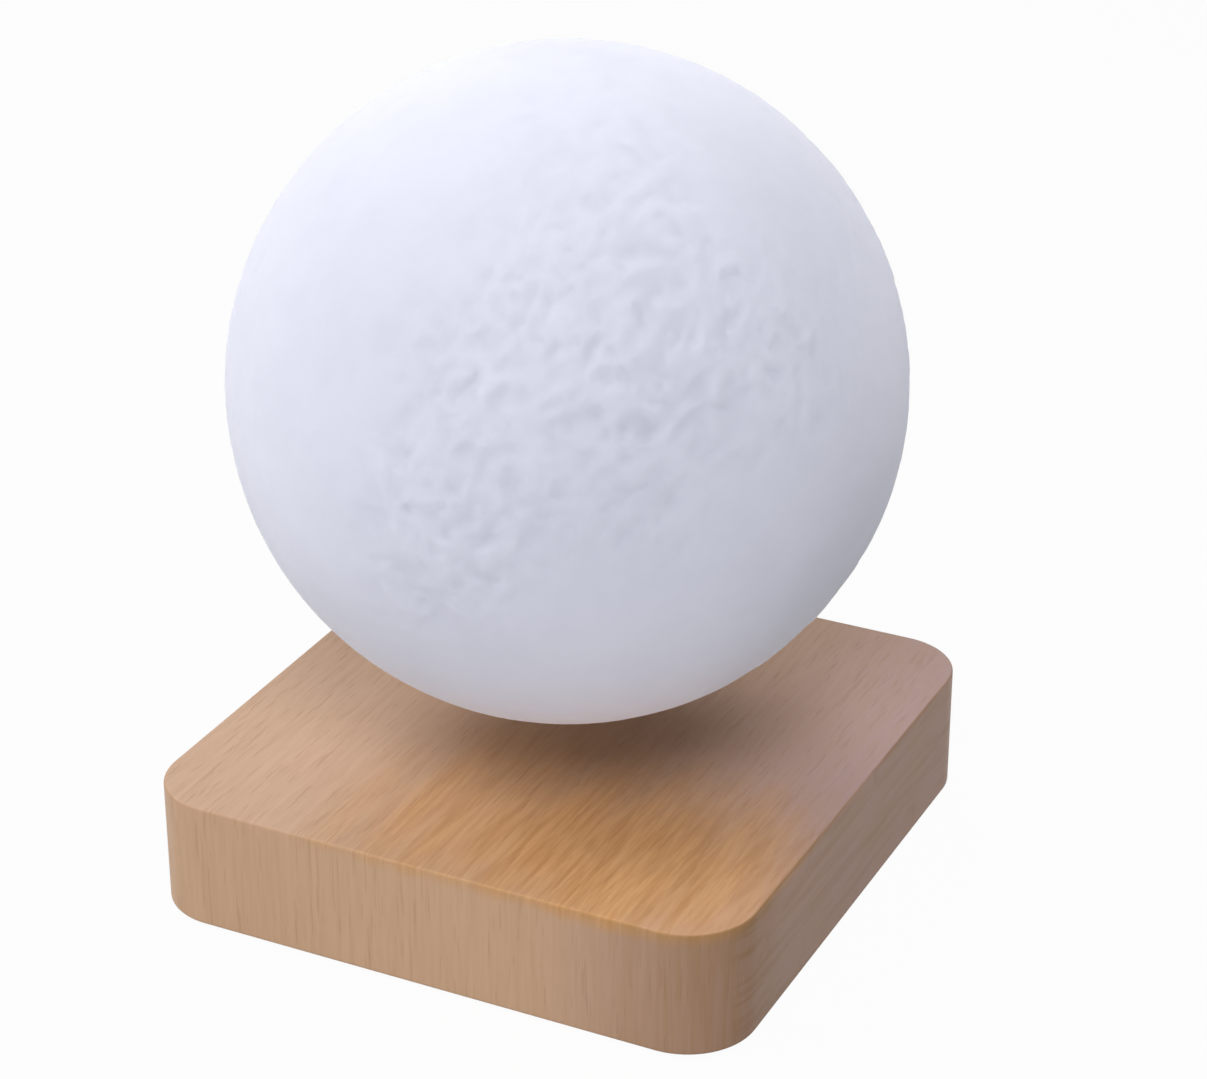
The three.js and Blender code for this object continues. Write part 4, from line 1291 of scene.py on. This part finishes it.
can_metal = speckled(
    "can_aluminium", (0.6, 0.61, 0.62), (0.7, 0.7, 0.71),
    rough=0.26, spread=0.14, scale=240, depth=can_grain, fixed=bare_metal,
)
cans = merged("capacitor_cans", [can_capacitor((1, 1, 1), place, part_bottom) for place in can_places])
placed(cans, can_metal, "base", "capacitor_can", *numbered("board_capacitor", 2))

# Field sensors and touch electrode
# These keep their CAD shapes: three black sensors on the post between the coils, and a strip of copper foil
# stuck to the front wall of the pocket.

foil_grain = 0.04 * MM
foil = speckled(
    "copper_foil", (0.68, 0.33, 0.18), (0.6, 0.27, 0.13),
    rough=0.3, spread=0.2, scale=150, depth=foil_grain, fixed=bare_metal,
)
for name in ("hall_sensor_x", "hall_sensor_y", "hall_sensor_z"):
    dressed(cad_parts[name], chip_black)
dressed(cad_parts["touch_electrode"], foil)

# Magnet cup
# A white moulded cup that closes the moon from below. Its flange carries on the curve of the ball, and its
# wall plugs into the collar.

cup_inset = 0.4 * MM
flange_bottom = 41.3 * MM
flange_top = 43.7 * MM
flange_steps = 6
cup_wall = [(25.7, 43.7), (25.7, 58.9), (24.3, 58.9), (24.3, 43.9), (0, 43.9)]
cup_round = 0.3 * MM
curve_radius = 70 * MM
cup_line = [(0, flange_bottom)]
for step in range(flange_steps + 1):
    z = flange_bottom + (flange_top - flange_bottom) * step / flange_steps
    cup_line.append((math.sqrt(curve_radius ** 2 - (moon_centre.z - z) ** 2) - cup_inset, z))
cup_line += in_mm(cup_wall)
cup = lathe(rounded(cup_line, cup_round), "magnet_cup", 96)
placed(cup, white_plastic, "moon_ball", "coil_plastic", "float_cup")

# Floating magnet and receiver coil
# A thick nickel plated disc on the floor of the cup, and round its foot the coil that takes up the power.

disc_line = [(0, 44.2), (20, 44.2), (20, 54.2), (0, 54.2)]
disc_round = 0.7 * MM
receiver_size = (44.2, 49.2, 21.4, 24.0, 0.45)
disc = turned(disc_line, disc_round, "nickel_disc", 96, steps=4)
placed(disc, nickel, "magnet_float", "nickel", "float_magnet")
coil = lathe(in_mm(wound(*receiver_size)), "receiver_winding", 96)
placed(coil, copper, "moon_ball", "copper_wire", "receiver_coil")

# Light carrier
# A white moulded disc over the magnet, with three hollow posts for the screws of the light board.

carrier_line = [(0, 54.5), (24, 54.5), (24, 55.7), (0, 55.7)]
post_line = [(0, 54.9), (2.6, 54.9), (2.6, 62.7), (0, 62.7)]
post_bore = (1.2 * MM, 58.2 * MM, 64 * MM)
post_radius = 17 * MM
post_turns = (90, 210, 330)
post_places = []
for turn in map(math.radians, post_turns):
    post_places.append((post_radius * math.cos(turn), post_radius * math.sin(turn)))
carrier = turned(carrier_line, cup_round, "light_carrier", 72)
combined(carrier, "UNION", [turned(post_line, cup_round, "post", 28, at) for at in post_places])
carved(carrier, *[drill(*post_bore, "hole", at, 24) for at in post_places])
placed(carrier, white_plastic, "moon_ball", "coil_plastic", "board_carrier")

# Light board
# A round white circuit board on the posts, with three screws, six light diodes in a ring, a rectifier that
# keeps its CAD shape, and a smoothing capacitor.

light_line = [(0, 63.0), (22, 63.0), (22, 64.6), (0, 64.6)]
light_hole = (1.2 * MM, 62 * MM, 66 * MM)
light_head = [(0, 58.5), (0.6, 58.5), (0.85, 59)]
light_neck = [(0.8, 64.9), (1.9, 64.9), (2, 65.1), (2, 65.6), (1.6, 66.1), (0, 66.2)]
light_thread = (0.7, 0.9)
light_drive = (2.2 * MM, 0.55 * MM)
light_drive_levels = (65.4 * MM, 67 * MM)
led_size = (5 * MM, 5 * MM)
led_corner = 0.3 * MM
led_edge = 0.1 * MM
led_levels = (64.9 * MM, 66.2 * MM)
led_window_line = [(0, 66.0), (2.0, 66.0), (2.0, 66.3), (0, 66.4)]
led_radius = 11.5 * MM
small_can_shares = (0.75, 0.75, 5.4 / 11.5)
small_can_middle = (0, 3.6 * MM)
light_part_bottom = 64.9 * MM
phosphor_grain = 0.01 * MM

white_board = lacquered_board("white_circuit_board", (0.72, 0.72, 0.71), (0.79, 0.79, 0.78))
lights = turned(light_line, board_edge, "diode_board", 72)
carved(lights, *[drill(*light_hole, "hole", at, 24) for at in post_places])
placed(lights, white_board, "moon_ball", "white_circuit", "light_board")
screw_line = threaded(light_head, *light_thread, light_neck[0][1] - thread_pitch) + light_neck
pan_screw = crossed(lathe(in_mm(screw_line), "screw", 24), light_drive, drive_corner, *light_drive_levels)
pan_screws = repeated("pan_screws", pan_screw, steel, 3, post_radius, 90, screw_turn)
placed(pan_screws, steel, "moon_ball", "screw_steel", *numbered("light_screw", 3))
led_body = slab(led_size, led_corner, *led_levels, "body", led_edge, steps=4)
led_bodies = repeated("diode_bodies", led_body, white_plastic, 6, led_radius, 0)
placed(led_bodies, white_plastic, "moon_ball", "coil_plastic")
phosphor = speckled(
    "yellow_phosphor", (0.78, 0.62, 0.12), (0.7, 0.52, 0.08),
    rough=0.3, spread=0.1, scale=800, depth=phosphor_grain,
)
window = lathe(in_mm(led_window_line), "window", 24)
windows = repeated("diode_windows", window, phosphor, 6, led_radius, 0)
placed(windows, phosphor, "moon_ball", "led_phosphor", *numbered("led", 6))
small = can_capacitor(small_can_shares, small_can_middle, light_part_bottom)
small.name = "smoothing_can"
placed(small, can_metal, "moon_ball", "capacitor_can", "smoothing_capacitor")
dressed(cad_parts["rectifier"], chip_black)

# Studio
# A plain pale floor that keeps the shadow, a white backdrop all round, and seven soft white lamps, the
# strongest from the front and the left. The camera stands where the photograph was taken from.

floor_size = 3.0
ambient = 0.02
backdrop_white = 0.977
floor_white = (0.5, 0.5, 0.5)
floor_glow_share = 0.96

# Each row is a lamp's name, its direction from the moon, its distance, its size and its power
lamp_rows = [
    ("soft_key", (-0.75, -0.35, 0.6), 1.5, 0.7, 6.8),
    ("high_left", (-0.6, -0.3, 0.9), 1.5, 0.6, 5.5),
    ("high_front", (0.3, -0.75, 0.95), 1.5, 0.6, 9),
    ("low_front", (-0.15, -0.95, 0.06), 1.5, 0.5, 8),
    ("right_edge", (0.95, -0.25, 0.12), 1.5, 0.6, 4.4),
    ("back_edge", (-0.6, 0.7, 0.75), 1.5, 0.6, 5.5),
    ("top_right", (0.4, 0.3, 0.85), 0.45, 0.3, 0.85),
]
camera_place = (0.28401, -0.5625, 0.38625)
camera_forward = Vector((-0.394135, 0.803523, -0.446103))
camera_down = Vector((0.195413, -0.401028, -0.894981))
camera_lens = 100.258
camera_sensor = 36


def seen_share(tree):
    """1 for the rays that see the backdrop: from the camera, in gloss and through clear pieces."""
    path = tree.node("ShaderNodeLightPath", output="Is Camera Ray")
    return tree.maths("MINIMUM", path + path.other("Is Glossy Ray") + path.other("Is Transmission Ray"), 1)


def floor_finish():
    material = bpy.data.materials.new("pale_floor")
    tree = cleared(material)
    matt = tree.node("ShaderNodeBsdfDiffuse", {}, {"Color": (*floor_white, 1)})
    white = tree.node("ShaderNodeEmission", {}, {"Strength": 1})
    pale = tree.node("ShaderNodeMixShader", {}, {0: seen_share(tree) * floor_glow_share, 1: matt, 2: white})
    clear = tree.node("ShaderNodeBsdfTransparent")
    under = tree.node("ShaderNodeNewGeometry", output="Backfacing")
    surface = tree.node("ShaderNodeMixShader", {}, {0: under, 1: pale, 2: clear})
    tree.node("ShaderNodeOutputMaterial", {}, {"Surface": surface})
    return material


floor_mesh = bpy.data.meshes.new("floor")
floor_mesh.from_pydata([(x, y, 0) for x, y in corners_at(floor_size / 2)], [], [(0, 1, 2, 3)])
floor_mesh.materials.append(floor_finish())
floor = linked("floor", floor_mesh)

world = bpy.data.worlds.new("white_studio")
bpy.context.scene.world = world
air = cleared(world)
level = ambient + seen_share(air) * (backdrop_white - ambient)
light = air.node("ShaderNodeBackground", {}, {"Color": (1, 1, 1, 1), "Strength": level})
air.node("ShaderNodeOutputWorld", {}, {"Surface": light})

for name, towards, distance, size, power in lamp_rows:
    data = bpy.data.lights.new(name, "AREA")
    data.shape = "SQUARE"
    data.size = size
    data.energy = power
    lamp = linked(name, data)
    lamp.location = moon_centre + Vector(towards).normalized() * distance
    lamp.rotation_mode = "QUATERNION"
    lamp.rotation_quaternion = (moon_centre - lamp.location).to_track_quat("-Z", "Y")

camera_data = bpy.data.cameras.new("camera")
camera_data.sensor_fit = "HORIZONTAL"
camera_data.sensor_width = camera_sensor
camera_data.lens = camera_lens
camera = linked("camera", camera_data)
camera.location = camera_place
camera_right = camera_down.cross(camera_forward)
camera.rotation_euler = Matrix((camera_right, -camera_down, -camera_forward)).transposed().to_euler()
bpy.context.scene.camera = camera
bpy.context.scene.view_settings.view_transform = "Standard"

bpy.context.view_layer.update()
